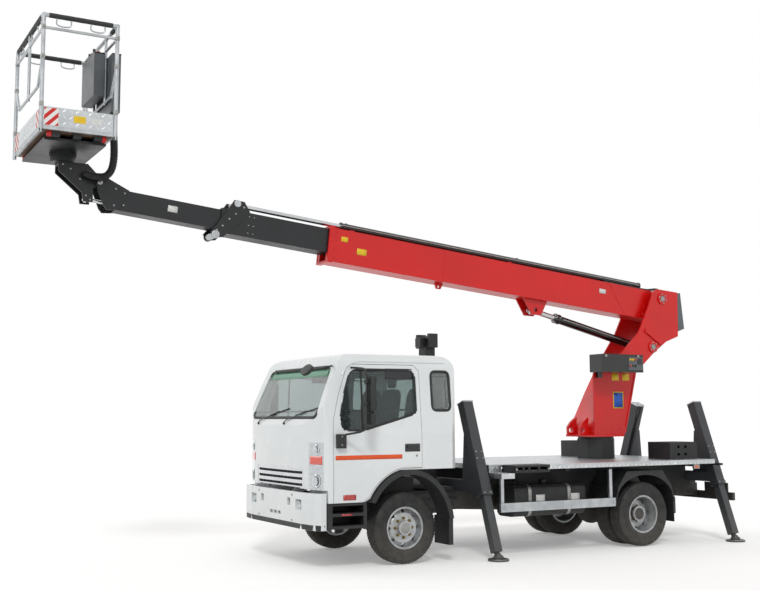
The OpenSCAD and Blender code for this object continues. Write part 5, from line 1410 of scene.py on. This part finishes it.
def makeBasketPieces(g):
    x0, x1, y, z0, r = g["x0"], g["x1"], g["y"], g["floor"], g["tube"]
    rail = z0 + g["high"]
    slot, body = "basket_aluminium", "basket"
    # padded covers on the top rail: a tube that swells between its ties, radius = r * (1 + 0.06 |sin|)
    covers = []
    for a, c in (((x0 + 0.05, y), (x1 - 0.05, y)), ((x0 + 0.05, -y), (x1 - 0.05, -y)),
            ((x1, -y + 0.06), (x1, y - 0.06)), ((x0, -y + 0.06), (x0, -0.30)),
            ((x0, 0.46), (x0, y - 0.06))):
        t = np.linspace(0, 1, 61)[:, None]
        line = np.column_stack([a[0] + (c[0] - a[0]) * t, a[1] + (c[1] - a[1]) * t, np.full(61, rail)])
        length = math.dist(a, c)
        swell = (r + 0.0035) * (1 + 0.05 * np.abs(np.sin(t * math.pi * max(1, round(length / 0.12)))))
        p, side, over = framesAlong(line, (0.01, 0.02, 1))
        q = ring(1.0, 14)
        covers.append(p[:, None] + swell[:, :, None] * (q[None, :, :1] * side[:, None] + q[None, :,
                1:] * over[:, None]))
    o = surface("rail_padding", covers, "railVinyl", body, wrapV=True, capEnds=True)
    fixNormals(o)
    # hand loops under the rail and the clamps on the posts
    loops = []
    for s in (1, -1):
        for x in (x0 + 0.20, x1 - 0.20):
            loops.append(smoothPath([(x - 0.07, s * y, rail - 0.018), (x - 0.07, s * (y - 0.01),
                    rail - 0.075), (x - 0.03, s * (y - 0.012), rail - 0.092), (x + 0.03, s * (y - 0.012),
                    rail - 0.092), (x + 0.07, s * (y - 0.01), rail - 0.075),
                    (x + 0.07, s * y, rail - 0.018)], 6))
    for yy in (-0.45, 0.0, 0.45):
        loops.append(smoothPath([(x1, yy - 0.08, rail - 0.018), (x1 - 0.01, yy - 0.08, rail - 0.075),
                (x1 - 0.012, yy - 0.04, rail - 0.092), (x1 - 0.012, yy + 0.04, rail - 0.092),
                (x1 - 0.01, yy + 0.08, rail - 0.075), (x1, yy + 0.08, rail - 0.018)], 6))
    tubes("rail_loops", loops, 0.0075, "tubeAluminium", body, 10, (0.1, 0.1, 1))
    clamps, upper = [], (rail - 0.13, z0 + 0.70)
    for x in (x0, x1):
        for s in (1, -1):
            for z in (*upper, z0 + 0.22):
                clamps.append(((x - 0.0208, s * y - 0.0245, z - 0.026), (x + 0.0208, s * y + 0.0245,
                        z + 0.026)))
    blocks("post_clamps", clamps, "zincSteel", body, 0.006)
    for tag, s in sides:
        boltHeads(f"clamp_bolts_{tag}", [(x, s * (y + 0.0245), z) for x in (x0, x1) for z in upper],
                (0, s, 0), 0.0065, 0.006, "zincSteel", body)
    # toe boards: tread plate, hatched at the two ends, between two corners and heights over the floor
    heights = {"treadPlate": (0.004, 0.196), "hatchFilm": (0.012, 0.188)}
    for tag, look, a, c in (
            ("left", "treadPlate", (x0 + 0.022, y + 0.0003), (x1 - 0.022, y + 0.003)),
            ("right", "treadPlate", (x0 + 0.022, -y - 0.003), (x1 - 0.022, -y - 0.0003)),
            ("front", "treadPlate", (x1 + 0.0003, -y + 0.022), (x1 + 0.003, y - 0.022)),
            ("back", "treadPlate", (x0 - 0.003, -y + 0.022), (x0 - 0.0003, y - 0.022)),
            ("hatch_left", "hatchFilm", (x1 - 0.17, y + 0.0025), (x1 - 0.03, y + 0.004)),
            ("hatch_front_left", "hatchFilm", (x1 + 0.0025, y - 0.22), (x1 + 0.004, y - 0.03)),
            ("hatch_front_right", "hatchFilm", (x1 + 0.0025, -y + 0.03), (x1 + 0.004, -y + 0.22))):
        low, high = heights[look]
        blocks(f"toe_board_{tag}", [((*a, z0 + low), (*c, z0 + high))], look, body, 0.0008)
    blocks("basket_labels", [((x0 + 0.30, y + 0.0028, z0 + 0.065), (x0 + 0.42, y + 0.0045, z0 + 0.135))],
            "yellowVinyl", body, 0.0004)
    blocks("basket_white_labels", [((x0 + 0.14, y + 0.0028, z0 + 0.07), (x0 + 0.24, y + 0.0045, z0 + 0.13)),
            ((x0 + 0.50, -y - 0.0045, z0 + 0.07), (x0 + 0.60, -y - 0.0028, z0 + 0.13))], "whiteVinyl", body,
            0.0004)
    # rubber mounts under the floor and floor board
    mounts = [(x, s * 0.60) for x in (x0 + 0.10, x1 - 0.10) for s in (1, -1)]
    for k, (x, yy) in enumerate(mounts):
        ringsUp(f"basket_mount_{k}", [(0.0, 0.0), (0.0, 0.026), (0.008, 0.030), (0.040, 0.030),
                (0.048, 0.026), (0.048, 0.0)], (x, yy, z0 - 0.0795), "redEnamel", body, 28)
    blocks("floor_underside", [((x0 + 0.03, -y + 0.03, z0 - 0.0335), (x1 - 0.03, y - 0.03, z0 - 0.0295))],
            "plywood", body, 0.001)
    blocks("floor_tread", [((x0 + 0.0055, -y + 0.0055, z0 + 0.0002),
            (x1 - 0.0055, y - 0.0055, z0 + 0.003))], "treadPlate", body, 0.0008)
    # black feet under the posts
    caps = [((x - 0.0175, s * (y + 0.0165) - 0.003, z0 - 0.061), (x + 0.0175, s * (y + 0.0165) + 0.003,
            z0 - 0.030)) for x in (x0, x1) for s in (1, -1)]
    blocks("post_feet", caps, "grainedPlastic", body, 0.002)


# phenolic-faced plywood: brown with a slow drift of tone
looks["plywood"] = surfaceMaterial("phenolic_faced_plywood", "#5F4A3B", "#54402F", 0.15, (0.5, 0.62), 0.01,
        0.08)
makeBasketPieces(basketSet)


def makeConsolePieces(g):
    x0, z0 = g["x0"], g["floor"]
    rail = z0 + g["high"]
    body, slot = "basket", "console_plastic"
    # lid, joystick, button, switch row
    blocks("console_lid", [((x0 + 0.018, -0.264, rail - 0.172), (x0 + 0.134, 0.264, rail - 0.158))],
            "glossBlack", body, 0.004)
    blocks("console_cover", [((x0 - 0.1135, -0.204, rail - 0.214), (x0 - 0.016, 0.424, rail - 0.198))],
            "glossBlack", body, 0.004)
    for k, yy in enumerate((-0.17, 0.02)):
        ringsUp(f"joystick_boot_{k}", [(0.0, 0.030), (0.008, 0.026), (0.010, 0.029), (0.018, 0.021),
                (0.020, 0.023), (0.028, 0.012), (0.030, 0.0)], (x0 + 0.075, yy, rail - 0.158), "softRubber",
                body, 32)
        ringsUp(f"joystick_{k}", [(0.020, 0.006), (0.070, 0.006), (0.074, 0.014), (0.098, 0.017),
                (0.106, 0.013), (0.110, 0.0)], (x0 + 0.075, yy, rail - 0.158), "glossBlack", body, 24)
    ringsUp("stop_button", [(0.0, 0.022), (0.010, 0.022), (0.012, 0.018), (0.020, 0.024), (0.027, 0.022),
            (0.031, 0.0)], (x0 + 0.075, 0.19, rail - 0.158), "redLens", body, 32)
    ringsOnAxis("blue_button", [(0.0, 0.034), (0.006, 0.034), (0.008, 0.028), (0.022, 0.027),
            (0.026, 0.020), (0.027, 0.0)], (x0 - 0.1102, 0.30, rail - 0.36), (-1, 0, 0), "blueVinyl", body,
            36)
    blocks("console_ribs", [((x0 - 0.1125, yy, rail - 0.60), (x0 - 0.109, yy + 0.012, rail - 0.24))
            for yy in (-0.16, -0.08, 0.0, 0.08)], "greyPlastic", body, 0.001)
    boltHeads("console_screws", [(x0 - 0.1102, yy, zz) for yy in (-0.18, 0.40)
            for zz in (rail - 0.80, rail - 0.23)], (-1, 0, 0), 0.006, 0.004, "zincSteel", body)
    blocks("console_label", [((x0 - 0.1115, 0.03, rail - 0.70), (x0 - 0.1095, 0.15, rail - 0.64))],
            "whiteVinyl", body, 0.0004)


makeConsolePieces(basketSet)


def makeHose(g):
    # corrugated hose: radius = 36 + 5 |sin| of the run, a ridge each 14 mm, along the CAD hose's own line
    x0, z0 = g["x0"], g["floor"]
    points = [(-0.070, 0.330, 0.2995), (-0.070, 0.330, 0.200), (-0.076, 0.322, 0.080),
            (-0.090, 0.300, -0.060), (-0.095, 0.270, -0.180), (-0.080, 0.235, -0.280),
            (-0.030, 0.205, -0.340), (0.050, 0.185, -0.350), (0.120, 0.160, -0.335), (0.170, 0.135, -0.310)]
    line = spread(smoothPath(np.array(points) + [x0, 0, z0], 10), 0.0035, False)
    p, side, over = framesAlong(line, (0.3, 1, 0))
    swell = 0.0355 + 0.0055 * np.abs(np.sin(np.arange(len(p)) * 0.0035 * math.pi / 0.014))
    q = ring(1.0, 20)
    grid = p[:, None] + swell[:, None, None] * (q[None, :, :1] * side[:, None] + q[None, :, 1:] * over[:,
            None])
    o = surface("corrugated_hose", grid, "softRubber", "basket", wrapV=True, capEnds=True)
    fixNormals(o)
    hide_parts("basket_hose")


makeHose(basketSet)


def makeLinkPieces():
    # bolts on the link's side plates
    z = linkZ
    for side, s in sides:
        spots = [(linkX + dx, s * 0.085, z + dz) for dx, dz in ((0.09, -0.19), (0.135, -0.15), (0.20, 0.02),
                (0.30, 0.12), (0.38, 0.16), (0.10, 0.10))]
        boltHeads(f"{side}_link_bolts", spots, (0, s, 0), 0.009, 0.008, "zincSteel", "basket_link")


makeLinkPieces()
print("basket pieces done")


# ---------- floor, backdrop and light ----------
stageSet = {"floor": "#EDEDEB", "size": 80, "sky": 0.62, "key": 1.1, "fill": 0.3, "floorGlow": 0.25}


def seenRay(tree, most):
    # that much for rays that reach the eye straight, through glass or off a mirror, none for the rest
    ray = add(tree, "LightPath")
    seen = add(tree, "Math", {0: ray.outputs["Is Camera Ray"], 1: ray.outputs["Is Transmission Ray"]},
            operation="MAXIMUM")
    seen = add(tree, "Math", {0: seen, 1: ray.outputs["Is Glossy Ray"]}, operation="MAXIMUM")
    return add(tree, "Math", {0: seen, 1: most}, operation="MULTIPLY")


def makeStage(s):
    # a flat floor under the wheels, and a world that shows as white while lighting at a plain level
    mesh = bpy.data.meshes.new("floor")
    h = s["size"]
    mesh.from_pydata([(-h, -h, 0), (h, -h, 0), (h, h, 0), (-h, h, 0)], [], [(0, 1, 2, 3)])
    floor = bpy.data.objects.new("floor", mesh)
    floor.location.z = -0.002
    scene.collection.objects.link(floor)
    m, tree, shader = newMaterial("pale_floor", **{"Base Color": toLinear(s["floor"]), "Roughness": 0.9})
    mesh.materials.append(m)
    shader.inputs["Emission Color"].default_value = (1, 1, 1, 1)
    tree.links.new(seenRay(tree, s["floorGlow"]).outputs[0], shader.inputs["Emission Strength"])
    world = bpy.data.worlds.new("studio")
    scene.world = world
    world.use_nodes = True
    t = world.node_tree
    t.nodes.clear()
    strength = add(t, "MapRange", {"Value": seenRay(t, 1.0), "From Min": 0.0, "From Max": 1.0,
            "To Min": s["sky"], "To Max": 1.0})
    sky = add(t, "Background", {"Color": (1, 1, 1, 1), "Strength": strength})
    t.links.new(sky.outputs[0], add(t, "OutputWorld").inputs[0])
    for name, angles, energy, wide in (("key", (48, 0, 150), s["key"], 12), ("fill", (60, 0, 35), s["fill"],
            25)):
        lamp = bpy.data.lights.new(name, "SUN")
        lamp.energy, lamp.angle = energy, math.radians(wide)
        o = bpy.data.objects.new(name, lamp)
        o.rotation_euler = [math.radians(a) for a in angles]
        scene.collection.objects.link(o)


makeStage(stageSet)
scene.view_settings.view_transform = "Standard"
print("stage set")
